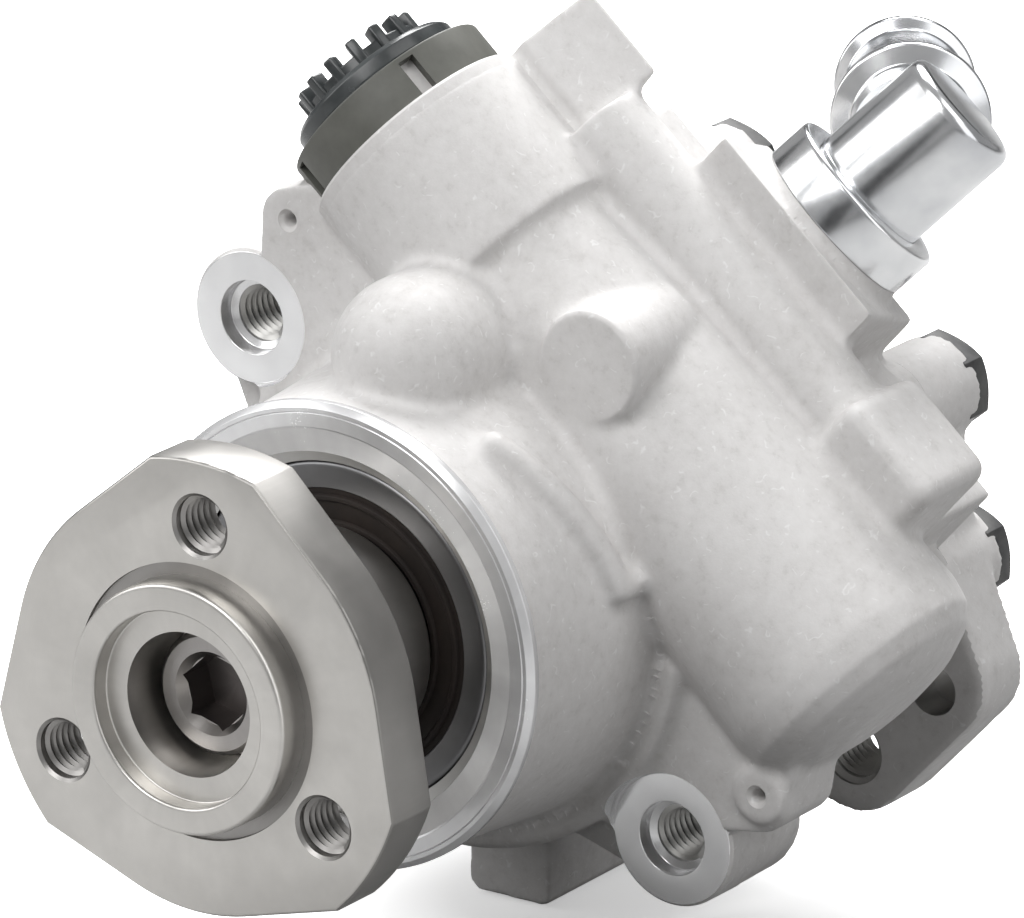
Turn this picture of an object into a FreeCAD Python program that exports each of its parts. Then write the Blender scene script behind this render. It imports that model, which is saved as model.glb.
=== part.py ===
"""Power steering pump: a vane pump in a cast aluminium housing, with a flow valve across its top.

Millimetres. The pump's own axes are used for every size and place: +Y runs back along the drive shaft from
the drive flange's front face, X runs along the valve bore, and +Z points towards the suction inlet. The
finished pieces are then rolled about the shaft, as the pump lies when it rests on its lower front ear.
"""

import FreeCAD
import Part
import Sketcher
import math
import os

from FreeCAD import Vector

doc = FreeCAD.newDocument("SteeringPump")
sheet = doc.addObject("Spreadsheet::Sheet", "Sizes")

# Driving sizes, one row of the sheet each
DRIVING_SIZES = {
    "roll": 41.5,
    # drive flange
    "lobe_radius": 32.66,
    "side_radius": 29.0,
    "lobe_angle": 128.8,
    "flange_thick": 8.8,
    "flange_chamfer": 0.5,
    "bolt_circle": 24.0,
    "flange_thread": 4.0,
    "flange_thread_mouth": 4.45,
    "spigot_radius": 16.87,
    "spigot_height": 4.08,
    "spigot_relief": 0.9,
    "spigot_relief_depth": 0.7,
    "counterbore_radius": 13.16,
    "counterbore_depth": 2.75,
    "flange_bore": 9.76,
    "flange_bore_depth": 9.0,
    "neck_radius": 15.5,
    # shaft
    "shaft_press": 8.5,
    "shaft_proud": 5.4,
    "shaft_end_chamfer": 0.9,
    "hex_across_flats": 9.0,
    "hex_depth": 6.0,
    "seal_journal": 9.0,
    "spline_root": 7.2,
    "spline_height": 0.9,
    "spline_width": 2.0,
    "rear_journal": 6.5,
    "rear_journal_end": 113.0,
    "running_gap": 0.08,
    # bearing
    "bearing_bore": 10.0,
    "bearing_outer": 23.5,
    "bearing_width": 14.0,
    "inner_land": 14.2,
    "outer_land": 19.8,
    "ball_radius": 3.97,
    "ball_gap": 0.06,
    "ball_count": 8,
    "cage_wall": 1.3,
    "cage_front": 1.9,
    "cage_width": 10.2,
    "seal_thick": 0.9,
    "seal_recess": 0.3,
    "seal_gap": 0.25,
    "seal_bead": 0.45,
    # nose of the housing
    "nose_face": 29.75,
    "nose_radius": 32.08,
    "nose_band": 1.9,
    "nose_cast_radius": 31.4,
    "nose_flare": 33.2,
    "nose_mouth": 25.1,
    "nose_mouth_depth": 0.85,
    "bearing_set_back": 2.3,
    "bearing_shoulder": 20.5,
    "seal_bore": 14.5,
    "lip_seal_width": 7.0,
    "web_bore": 11.0,
    # body and cartridge
    "plate_face": 58.6,
    "plate_thick": 12.0,
    "body_radius": 37.5,
    "housing_back": 104.0,
    "cavity_radius": 30.0,
    "cavity_front": 79.6,
    "fit_gap": 0.05,
    "pressure_plate": 4.4,
    "cam_width": 15.0,
    "cam_major": 24.4,
    "cam_minor": 21.9,
    "rotor_radius": 20.8,
    "side_gap": 0.05,
    "vane_thick": 1.8,
    "vane_depth": 7.6,
    "vane_inset": 0.1,
    "slot_gap": 0.03,
    "slot_foot": 1.6,
    "port_window": 3.2,
    "dowel_radius": 2.0,
    "dowel_circle": 27.0,
    "dowel_angle": 100.0,
    "vane_count": 10,
    # front ears
    "ear_reach": 45.5,
    "ear_face": 59.8,
    "ear_radius": 9.1,
    "ear_back": 77.0,
    "ear_thread": 4.0,
    "ear_mouth": 5.1,
    "ear_mouth_depth": 2.2,
    "web_set_back": 4.0,
    "pin_lug_reach": 50.3,
    "pin_lug_rise": 15.8,
    "pin_lug_radius": 4.3,
    "pin_hole": 0.9,
    "pin_hole_depth": 4.0,
    # valve tube, along X
    "tube_back": 70.0,
    "tube_rise": 33.0,
    "port_end": 48.1,
    "port_radius": 16.6,
    "port_boss": 25.9,
    "tube_radius": 16.0,
    "tube_far_radius": 18.2,
    "tube_far": 43.9,
    "tube_end": 52.5,
    "tube_end_radius": 11.0,
    "valve_bore": 7.5,
    "valve_bore_end": 43.0,
    "port_thread": 11.0,
    "port_thread_depth": 16.0,
    # gallery above the tube
    "gallery_back": 80.0,
    "gallery_rise": 50.3,
    "gallery_radius": 6.5,
    "gallery_left": 33.0,
    "gallery_right": 24.0,
    "horn_reach": 40.4,
    "horn_width": 14.4,
    "horn_front": 77.2,
    "horn_deep": 8.0,
    "horn_rise": 50.8,
    "horn_back_rise": 59.4,
    "horn_corner": 1.5,
    "knob_reach": 28.4,
    "knob_back": 80.0,
    "knob_rise": 58.0,
    "knob_radius": 8.7,
    "knob_corner": 3.0,
    "rib_radius": 1.5,
    # round boss and dome on the tube
    "boss_reach": 5.0,
    "boss_face": 53.6,
    "boss_rise": 42.8,
    "boss_radius": 7.5,
    "dome_reach": 20.8,
    "dome_rise": 25.8,
    "dome_radius": 11.0,
    "dome_front": 45.0,
    # inlet
    "inlet_tilt": 25.0,
    "inlet_side": 3.9,
    "inlet_back": 95.0,
    "inlet_rise": 59.0,
    "block_left": 19.6,
    "block_right": 11.3,
    "block_front": 82.0,
    "block_back": 103.0,
    "seat_step": 2.1,
    "seat_depth": 3.8,
    "seat_margin": 0.2,
    "inlet_bore": 8.6,
    "inlet_bore_depth": 14.0,
    "collar_radius": 12.4,
    "collar_height": 6.25,
    "collar_wall": 1.2,
    "collar_shoulder": 1.4,
    "can_radius": 9.0,
    "can_top": 23.5,
    "can_wall": 1.1,
    "can_corner": 1.9,
    "stub_height": 14.5,
    "stub_radius": 8.2,
    "stub_length": 36.0,
    "stub_side": 0.457,
    "near_bead": 15.0,
    "near_bead_radius": 10.9,
    "far_bead": 33.0,
    "far_bead_radius": 9.7,
    "bead_thick": 1.3,
    # rear cover
    "cover_thick": 11.0,
    "cover_bolt_standout": 5.5,
    "cover_bolt_angle": 35.0,
    "cover_bolt_count": 4,
    "bolt_boss": 7.2,
    "bolt_boss_front": 84.0,
    "foot_front": 72.0,
    "foot_angle": -49.0,
    "foot_standout": 12.3,
    "foot_width": 13.0,
    "top_bolt_angle": 67.0,
    "bolt_shank": 4.0,
    "bolt_length": 24.0,
    "bolt_head": 6.5,
    "bolt_head_height": 5.3,
    "bolt_clearance": 0.4,
    "rear_ear_standout": 9.1,
    "rear_ear_face": 105.5,
    "rear_ear_thick": 8.0,
    "rear_ear_radius": 8.6,
    "rear_tab_standout": 9.5,
    "rear_tab_rise": 17.5,
    "rear_tab_radius": 8.6,
    "rear_pocket": 3.6,
    "rear_pocket_depth": 3.5,
    "ring_section": 1.0,
    "ring_groove": 1.7,
    "bush_wall": 1.5,
    "bush_length": 11.0,
    # outlet
    "outlet_collar": 13.4,
    "outlet_collar_height": 6.3,
    "sleeve_radius": 15.3,
    "sleeve_slot": 2.4,
    "sleeve_slot_angle": 33.7,
    "sleeve_slot_count": 4,
    "sleeve_rim": 0.8,
    "union_bore": 4.2,
    "cap_plug": 3.9,
    "cap_plug_length": 9.0,
    "cap_skirt": 12.7,
    "cap_thick": 3.4,
    "cap_crown": 9.2,
    "cap_crown_height": 3.8,
    "cap_wall": 1.5,
    "cap_tooth_count": 15,
    "cap_tooth_width": 1.6,
    # valve
    "spool_gap": 0.04,
    "spool_length": 30.0,
    "spool_bore": 5.3,
    "spool_land": 6.0,
    "spool_neck": 6.0,
    "spring_wire": 0.8,
    "spring_radius": 4.1,
    "spring_turns": 11,
    "spring_seat": 9.0,
}


class Size:
    """A number together with the sheet's own expression for it, so that one line both draws and binds."""

    def __init__(self, number, text):
        self.number = number
        self.text = text

    def __add__(self, other):
        return Size(self.number + plain(other), f"({self.text} + {written(other)})")

    def __sub__(self, other):
        return Size(self.number - plain(other), f"({self.text} - {written(other)})")

    def __mul__(self, other):
        return Size(self.number * plain(other), f"({self.text} * {written(other)})")

    def __truediv__(self, other):
        return Size(self.number / plain(other), f"({self.text} / {written(other)})")

    def __neg__(self):
        return Size(-self.number, f"(-1 * {self.text})")


def plain(value):
    return value.number if isinstance(value, Size) else float(value)


def written(value):
    return value.text if isinstance(value, Size) else repr(float(value))


class Sheet:
    """The sheet's cells by name."""

    def __init__(self, sizes):
        for row, (name, number) in enumerate(sizes.items(), start=1):
            sheet.set(f"A{row}", name)
            sheet.set(f"B{row}", repr(number))
            sheet.setAlias(f"B{row}", name)
            setattr(self, name, Size(number, f"Sizes.{name}"))


size = Sheet(DRIVING_SIZES)
doc.recompute()

ALONG = {
    "X": FreeCAD.Rotation(Vector(0, 0, 1), Vector(1, 0, 0)),
    "Y": FreeCAD.Rotation(Vector(0, 0, 1), Vector(0, 1, 0)),
    "Z": FreeCAD.Rotation(),
}
nodes = []


def bind_place(thing, x, y, z):
    """Binds an object's base point to the sheet."""
    for letter, value in (("x", x), ("y", y), ("z", z)):
        thing.setExpression(f"Placement.Base.{letter}", written(value))


def rod(name, along, radius, length, x=0, y=0, z=0):
    """A plain cylinder along one of the pump's axes, from its base point."""
    thing = doc.addObject("Part::Cylinder", name)
    thing.Placement = FreeCAD.Placement(Vector(plain(x), plain(y), plain(z)), ALONG[along])
    thing.setExpression("Radius", written(radius))
    thing.setExpression("Height", written(length))
    bind_place(thing, x, y, z)
    return thing


def taper(name, along, radius, far_radius, length, x=0, y=0, z=0):
    """A cone frustum along one of the pump's axes."""
    thing = doc.addObject("Part::Cone", name)
    thing.Placement = FreeCAD.Placement(Vector(plain(x), plain(y), plain(z)), ALONG[along])
    thing.setExpression("Radius1", written(radius))
    thing.setExpression("Radius2", written(far_radius))
    thing.setExpression("Height", written(length))
    bind_place(thing, x, y, z)
    return thing


def ball(name, radius, x=0, y=0, z=0):
    thing = doc.addObject("Part::Sphere", name)
    thing.setExpression("Radius", written(radius))
    bind_place(thing, x, y, z)
    return thing


def block(name, low, high):
    """A box between two corners."""
    thing = doc.addObject("Part::Box", name)
    for property_name, start, stop in zip(("Length", "Width", "Height"), low, high):
        first = start if isinstance(start, Size) else Size(float(start), repr(float(start)))
        span = Size(plain(stop) - plain(start), f"({written(stop)} - {first.text})")
        thing.setExpression(property_name, span.text)
    bind_place(thing, *low)
    return thing


def join(name, things):
    result = doc.addObject("Part::MultiFuse", name)
    result.Shapes = things
    return result


def carve(name, base, tools):
    """Takes one or several tools away from a base."""
    tool = tools[0] if len(tools) == 1 else join(name + "Tools", tools)
    result = doc.addObject("Part::Cut", name)
    result.Base = base
    result.Tool = tool
    return result


def shaped(name, shape):
    """A piece that no primitive or sketch fits, drawn from the sheet's values."""
    thing = doc.addObject("Part::Feature", name)
    thing.Shape = shape
    return thing


def finish_node(label, thing):
    """Names a finished piece and rolls it with the pump."""
    if not thing.Placement.isIdentity():
        carrier = doc.addObject("Part::Compound", thing.Name + "Placed")
        carrier.Links = [thing]
        thing = carrier
    thing.Label = label
    thing.Placement = FreeCAD.Placement(Vector(), FreeCAD.Rotation(Vector(0, 1, 0), plain(size.roll)))
    thing.setExpression("Placement.Rotation.Angle", written(size.roll))
    nodes.append(thing)
    return thing


def turned(name, rows, along="Y", back=0, rise=0):
    """A piece turned on a lathe: a closed outline of (radius, place along the axis), spun about the axis."""
    body = doc.addObject("PartDesign::Body", name)
    plane = next(item for item in body.Origin.OriginFeatures if item.Role == "XY_Plane")
    sketch = body.newObject("Sketcher::SketchObject", name + "Outline")
    sketch.AttachmentSupport = [(plane, "")]
    sketch.MapMode = "FlatFace"
    count = len(rows)
    for index in range(count):
        radius, place = rows[index]
        next_radius, next_place = rows[(index + 1) % count]
        start = Vector(plain(radius), plain(place), 0)
        stop = Vector(plain(next_radius), plain(next_place), 0)
        sketch.addGeometry(Part.LineSegment(start, stop), False)
    for index in range(count):
        sketch.addConstraint(Sketcher.Constraint("Coincident", index, 2, (index + 1) % count, 1))
    for index, (radius, place) in enumerate(rows):
        for kind, value in (("DistanceX", radius), ("DistanceY", place)):
            if not isinstance(value, Size) and value == 0:
                axis = -2 if kind == "DistanceX" else -1
                sketch.addConstraint(Sketcher.Constraint("PointOnObject", index, 1, axis))
                continue
            number = sketch.addConstraint(Sketcher.Constraint(kind, -1, 1, index, 1, plain(value)))
            sketch.renameConstraint(number, f"{kind}{index}")
            if isinstance(value, Size):
                sketch.setExpression(f"Constraints.{kind}{index}", value.text)
    spin = body.newObject("PartDesign::Revolution", name + "Spin")
    spin.Profile = sketch
    spin.ReferenceAxis = (sketch, ["V_Axis"])
    spin.Angle = 360
    if along == "X":
        body.Placement = FreeCAD.Placement(
            Vector(0, plain(back), plain(rise)), FreeCAD.Rotation(Vector(0, 1, 0), Vector(1, 0, 0)))
        bind_place(body, 0, back, rise)
    return body


def around(radius, angle):
    """The point at a radius and an angle about the shaft, seen from the front with X at 0 and Z at 90."""
    turn = math.radians(plain(angle))
    return plain(radius) * math.cos(turn), plain(radius) * math.sin(turn)


def ring_rows(inner, outer, front, back):
    return [(inner, front), (outer, front), (outer, back), (inner, back)]


def hull_of_circles(first, second, front, back):
    """A plate whose outline wraps two circles, each given as x, z and radius, from front to back along Y."""
    (x1, z1, r1), (x2, z2, r2) = first, second
    gap = math.hypot(x2 - x1, z2 - z1)
    heading = math.atan2(z2 - z1, x2 - x1)
    lean = math.acos((r1 - r2) / gap)

    def rim(x, z, radius, angle):
        return Vector(x + radius * math.cos(angle), front, z + radius * math.sin(angle))

    upper, lower = heading + lean, heading - lean
    edges = [
        Part.LineSegment(rim(x1, z1, r1, upper), rim(x2, z2, r2, upper)).toShape(),
        Part.Arc(rim(x2, z2, r2, upper), rim(x2, z2, r2, heading), rim(x2, z2, r2, lower)).toShape(),
        Part.LineSegment(rim(x2, z2, r2, lower), rim(x1, z1, r1, lower)).toShape(),
        Part.Arc(rim(x1, z1, r1, lower), rim(x1, z1, r1, heading + math.pi), rim(x1, z1, r1, upper)).toShape(),
    ]
    return Part.Face(Part.Wire(edges)).extrude(Vector(0, back - front, 0))


# Places along the shaft that several pieces share
bearing_front = size.nose_face + size.bearing_set_back
bearing_back = bearing_front + size.bearing_width
seal_back = bearing_back + size.lip_seal_width
front_plate_back = size.cavity_front + size.pressure_plate
cam_back = front_plate_back + size.cam_width
rear_plate_back = cam_back + size.pressure_plate
cover_back = size.housing_back + size.cover_thick
cover_bolt_circle = size.body_radius + size.cover_bolt_standout
foot_reach = size.body_radius + size.foot_standout
rear_ear_reach = size.body_radius + size.rear_ear_standout
rear_tab_reach = size.body_radius + size.rear_tab_standout
flange_bottom = size.flange_bore_depth
shaft_front = flange_bottom - size.shaft_proud


def make_drive_flange():
    """Steel hub: a three-lobed plate with a centring spigot in front and a neck pressed on the shaft."""
    lobe, side = plain(size.lobe_radius), plain(size.side_radius)
    thick, chamfer = plain(size.flange_thick), plain(size.flange_chamfer)
    corner = math.degrees(math.acos(side / lobe))
    flat = 42.0

    def rim(radius, angle):
        x, z = around(radius, angle)
        return Vector(x, 0, z)

    edges = []
    for step in range(3):
        middle = plain(size.lobe_angle) + 120 * step
        edges.append(Part.Arc(
            rim(lobe, middle - flat + corner), rim(lobe, middle), rim(lobe, middle + flat - corner)).toShape())
        edges.append(Part.LineSegment(
            rim(lobe, middle + flat - corner), rim(side, middle + flat)).toShape())
        edges.append(Part.Arc(
            rim(side, middle + flat), rim(side, middle + 60), rim(side, middle + 120 - flat)).toShape())
        edges.append(Part.LineSegment(
            rim(side, middle + 120 - flat), rim(lobe, middle + 120 - flat + corner)).toShape())
    plate = Part.Face(Part.Wire(edges)).extrude(Vector(0, thick, 0))
    rim_edges = [edge for edge in plate.Edges
                 if all(abs(vertex.Point.y - place) < 0.001 for vertex in edge.Vertexes for place in (0.0,))
                 or all(abs(vertex.Point.y - thick) < 0.001 for vertex in edge.Vertexes)]
    plate_piece = shaped("FlangePlate", plate.makeChamfer(chamfer, rim_edges))
    hub = turned("FlangeHub", [
        (size.flange_bore, -size.spigot_height + size.counterbore_depth),
        (size.counterbore_radius, -size.spigot_height + size.counterbore_depth),
        (size.counterbore_radius, -size.spigot_height + 0.6),
        (size.counterbore_radius + 0.6, -size.spigot_height),
        (size.spigot_radius - 0.6, -size.spigot_height),
        (size.spigot_radius, -size.spigot_height + 0.6),
        (size.spigot_radius, size.flange_thick / 2),
        (size.neck_radius, size.flange_thick / 2),
        (size.neck_radius, bearing_front - 1.0),
        (size.inner_land - 0.4, bearing_front - 1.0),
        (size.inner_land - 0.4, bearing_front),
        (size.shaft_press, bearing_front),
        (size.shaft_press, flange_bottom),
        (size.flange_bore, flange_bottom),
    ])
    relief = turned("FlangeRelief", ring_rows(
        size.spigot_radius, size.spigot_radius + size.spigot_relief * 2, -1.0, size.spigot_relief_depth))
    middle_hole = rod("FlangeMiddle", "Y", size.spigot_radius - 1.0, size.flange_thick + 2, 0, -1, 0)
    holes = []
    for step in range(3):
        x, z = around(size.bolt_circle, size.lobe_angle + 120 * step)
        hole = rod(f"FlangeHole{step}", "Y", size.flange_thread, size.flange_thick + 2, x, -1, z)
        holes.append(hole)
        holes.append(taper(
            f"FlangeMouth{step}", "Y", size.flange_thread_mouth + 1.0, size.flange_thread - 0.55,
            1.55, x, -1, z))
    plate_ring = carve("FlangePlateRing", plate_piece, [middle_hole])
    whole = join("FlangeWhole", [plate_ring, hub])
    finish_node("drive_flange", carve("DriveFlange", whole, [relief] + holes))


def make_shaft():
    """Hardened shaft: hub seat, bearing seat, seal journal, twelve splines for the rotor, rear journal."""
    core = turned("ShaftCore", [
        (0, shaft_front),
        (size.shaft_press - size.shaft_end_chamfer, shaft_front),
        (size.shaft_press, shaft_front + size.shaft_end_chamfer),
        (size.shaft_press, bearing_front),
        (size.bearing_bore, bearing_front),
        (size.bearing_bore, bearing_back),
        (size.seal_journal, bearing_back),
        (size.seal_journal, size.cavity_front - 1.0),
        (size.spline_root, size.cavity_front - 1.0),
        (size.spline_root, rear_plate_back),
        (size.rear_journal, rear_plate_back),
        (size.rear_journal, size.rear_journal_end - 0.8),
        (size.rear_journal - 0.8, size.rear_journal_end),
        (0, size.rear_journal_end),
    ])
    teeth = []
    low, high = plain(front_plate_back) - 1.0, plain(cam_back) + 1.0
    for step in range(12):
        tooth = Part.makeBox(
            plain(size.spline_root) + plain(size.spline_height), high - low, plain(size.spline_width),
            Vector(0, low, -plain(size.spline_width) / 2))
        tooth.rotate(Vector(), Vector(0, 1, 0), 30 * step)
        teeth.append(tooth)
    splines = shaped("ShaftSplines", teeth[0].multiFuse(teeth[1:]))
    flats = plain(size.hex_across_flats) / 2 / math.cos(math.radians(30))
    corners = [Vector(flats * math.cos(math.radians(60 * k + 10)), 0, flats * math.sin(math.radians(60 * k + 10)))
               for k in range(7)]
    socket = Part.Face(Part.makePolygon(corners)).extrude(Vector(0, plain(size.hex_depth) + 1, 0))
    socket.translate(Vector(0, plain(shaft_front) - 1, 0))
    hexagon = shaped("ShaftSocket", socket)
    lead_in = taper("ShaftLeadIn", "Y", flats + 3.0, flats - 0.6, 3.0, 0, shaft_front - 1.2, 0)
    finish_node("drive_shaft", carve("DriveShaft", join("ShaftWhole", [core, splines]), [hexagon, lead_in]))


def make_bearing():
    """Deep-groove ball bearing, 20 by 47 by 14, with a rubber seal each side."""
    middle = bearing_front + size.bearing_width / 2
    pitch = (size.inner_land + size.outer_land) / 2
    groove = doc.addObject("Part::Torus", "BearingGroove")
    groove.Placement = FreeCAD.Placement(Vector(0, plain(middle), 0), ALONG["Y"])
    groove.setExpression("Radius1", pitch.text)
    groove.setExpression("Radius2", (size.ball_radius + size.ball_gap).text)
    bind_place(groove, 0, middle, 0)
    inner = turned("InnerRingBlank", ring_rows(size.bearing_bore, size.inner_land, bearing_front, bearing_back))
    outer = turned("OuterRingBlank", ring_rows(size.outer_land, size.bearing_outer, bearing_front, bearing_back))
    finish_node("bearing_inner_ring", carve("InnerRing", inner, [groove]))
    finish_node("bearing_outer_ring", carve("OuterRing", outer, [groove]))
    ball_shapes, pocket_shapes = [], []
    count = int(plain(size.ball_count))
    for step in range(count):
        x, z = around(pitch, 360 / count * step)
        centre = Vector(x, plain(middle), z)
        ball_shapes.append(Part.makeSphere(plain(size.ball_radius), centre))
        pocket_shapes.append(Part.makeCylinder(
            plain(size.ball_radius) + 2 * plain(size.ball_gap), 2 * plain(pitch),
            Vector(0, plain(middle), 0), Vector(x, 0, z)))
    finish_node("bearing_balls", shaped("BearingBalls", Part.makeCompound(ball_shapes)))
    cage = turned("CageBlank", ring_rows(
        pitch - size.cage_wall, pitch + size.cage_wall, bearing_front + size.cage_front,
        bearing_front + size.cage_front + size.cage_width))
    pockets = shaped("CagePockets", Part.makeCompound(pocket_shapes))
    finish_node("bearing_cage", carve("Cage", cage, [pockets]))
    front = bearing_front + size.seal_recess
    finish_node("bearing_front_seal", turned("FrontSeal", [
        (size.inner_land + size.seal_gap, front),
        (size.outer_land - 1.6, front),
        (size.outer_land - 1.6, front - size.seal_bead),
        (size.outer_land - 0.9, front - size.seal_bead),
        (size.outer_land - 0.9, front),
        (size.outer_land, front),
        (size.outer_land, front + size.seal_thick),
        (size.inner_land + size.seal_gap, front + size.seal_thick),
    ]))
    back = bearing_back - size.seal_recess
    finish_node("bearing_rear_seal", turned("RearSeal", ring_rows(
        size.inner_land + size.seal_gap, size.outer_land, back - size.seal_thick, back)))


def make_lip_seal():
    """Rubber lip seal behind the bearing, with its lip just clear of the journal at rest."""
    inside = size.seal_journal + size.running_gap
    finish_node("shaft_seal", turned("LipSeal", [
        (inside, bearing_back + 2.2),
        (inside + 0.8, bearing_back + 1.2),
        (inside + 1.6, bearing_back + 2.4),
        (inside + 1.6, seal_back - 1.4),
        (size.seal_bore - 1.4, seal_back - 1.4),
        (size.seal_bore - 1.4, bearing_back + 0.8),
        (size.seal_bore, bearing_back + 0.8),
        (size.seal_bore, seal_back),
        (inside + 0.6, seal_back),
        (inside + 0.6, bearing_back + 3.4),
    ]))


def make_cartridge():
    """The pumping group: two pressure plates, the cam ring between them, the rotor and its vanes."""
    cavity = size.cavity_radius - size.fit_gap
    front = plain(front_plate_back)
    turn = plain(size.dowel_angle)
    dowel_places = [around(size.dowel_circle, turn + 180 * step) for step in range(2)]

    def dowel_holes(name, start, length):
        return [rod(f"{name}{step}", "Y", size.dowel_radius, length, x, start, z)
                for step, (x, z) in enumerate(dowel_places)]

    def windows(name, start, length):
        """Four kidney windows, two for suction and two for pressure, each half of them 17 degrees long."""
        kidneys = []
        half = plain(size.port_window) / 2
        radius = plain(size.cam_major) - half + 0.3
        reach = math.radians(17)

        def point(across, angle):
            return Vector(across * math.cos(angle), start, across * math.sin(angle))

        for step in range(4):
            middle = math.radians(90 * step + 45)
            low, high = middle - reach, middle + reach
            past = half / radius
            edges = [
                Part.Arc(point(radius + half, low), point(radius + half, middle), point(radius + half, high)),
                Part.Arc(point(radius + half, high), point(radius, high + past), point(radius - half, high)),
                Part.Arc(point(radius - half, high), point(radius - half, middle), point(radius - half, low)),
                Part.Arc(point(radius - half, low), point(radius, low - past), point(radius + half, low)),
            ]
            outline = Part.Wire([edge.toShape() for edge in edges])
            kidneys.append(Part.Face(outline).extrude(Vector(0, length, 0)))
        return shaped(name, Part.makeCompound(kidneys))

    pieces = (
        ("front_pressure_plate", "FrontPlate", size.cavity_front, size.seal_journal + 0.6),
        ("rear_pressure_plate", "RearPlate", cam_back, size.rear_journal + 2.2),
    )
    for label, name, start, bore in pieces:
        blank = turned(name + "Blank", ring_rows(bore, cavity, start, start + size.pressure_plate))
        kidneys = windows(name + "Windows", plain(start) - 1, plain(size.pressure_plate) + 2)
        holes = dowel_holes(name + "Dowel", start - 1, size.pressure_plate + 2)
        finish_node(label, carve(name, blank, [kidneys] + holes))

    ring = rod("CamBlank", "Y", cavity, size.cam_width, 0, front_plate_back, 0)
    oval = Part.Ellipse(Vector(), plain(size.cam_major), plain(size.cam_minor))
    profile = Part.Face(Part.Wire([oval.toShape()]))
    profile.rotate(Vector(), Vector(1, 0, 0), -90)
    profile.rotate(Vector(), Vector(0, 1, 0), -45)
    hollow = profile.extrude(Vector(0, plain(size.cam_width) + 2, 0))
    hollow.translate(Vector(0, front - 1, 0))
    opening = shaped("CamOpening", hollow)
    cam_holes = dowel_holes("CamDowel", front_plate_back - 1, size.cam_width + 2)
    finish_node("cam_ring", carve("CamRing", ring, [opening] + cam_holes))

    pins = [Part.makeCylinder(
        plain(size.dowel_radius), plain(size.cam_width) + 2 * plain(size.pressure_plate),
        Vector(x, plain(size.cavity_front), z), Vector(0, 1, 0)) for x, z in dowel_places]
    finish_node("dowel_pins", shaped("DowelPins", Part.makeCompound(pins)))

    rotor_front, rotor_back = front_plate_back + size.side_gap, cam_back - size.side_gap
    rotor = turned("RotorBlank", ring_rows(
        size.spline_root + size.running_gap, size.rotor_radius, rotor_front, rotor_back))
    width = plain(rotor_back) - plain(rotor_front)
    vane_top = plain(size.rotor_radius) - plain(size.vane_inset)
    vane_foot = vane_top - plain(size.vane_depth)
    slot_half = plain(size.vane_thick) / 2 + plain(size.slot_gap)
    slots, grooves = [], []
    count = int(plain(size.vane_count))
    for step in range(count):
        angle = 360 / count * step + 18
        slot = Part.makeBox(
            plain(size.rotor_radius) + 1 - vane_foot + 0.3, width + 2, 2 * slot_half,
            Vector(vane_foot - 0.3, plain(rotor_front) - 1, -slot_half))
        foot = Part.makeCylinder(
            plain(size.slot_foot), width + 2, Vector(vane_foot - 0.3, plain(rotor_front) - 1, 0), Vector(0, 1, 0))
        cutter = slot.fuse(foot)
        cutter.rotate(Vector(), Vector(0, 1, 0), -angle)
        slots.append(cutter)
    for step in range(12):
        groove = Part.makeBox(
            plain(size.spline_root) + plain(size.spline_height) + 0.15, width + 2,
            plain(size.spline_width) + 0.1,
            Vector(0, plain(rotor_front) - 1, -plain(size.spline_width) / 2 - 0.05))
        groove.rotate(Vector(), Vector(0, 1, 0), 30 * step)
        grooves.append(groove)
    cutters = shaped("RotorCutters", Part.makeCompound([grooves[0].multiFuse(grooves[1:])] + slots))
    finish_node("rotor", carve("Rotor", rotor, [cutters]))

    gap = plain(size.side_gap)
    for step in range(count):
        vane = Part.makeBox(
            plain(size.vane_depth), width - 2 * gap, plain(size.vane_thick),
            Vector(vane_foot, plain(rotor_front) + gap, -plain(size.vane_thick) / 2))
        vane.rotate(Vector(), Vector(0, 1, 0), -(360 / count * step + 18))
        finish_node(f"vane_{step + 1:02d}", shaped(f"Vane{step + 1:02d}", vane))


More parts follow.
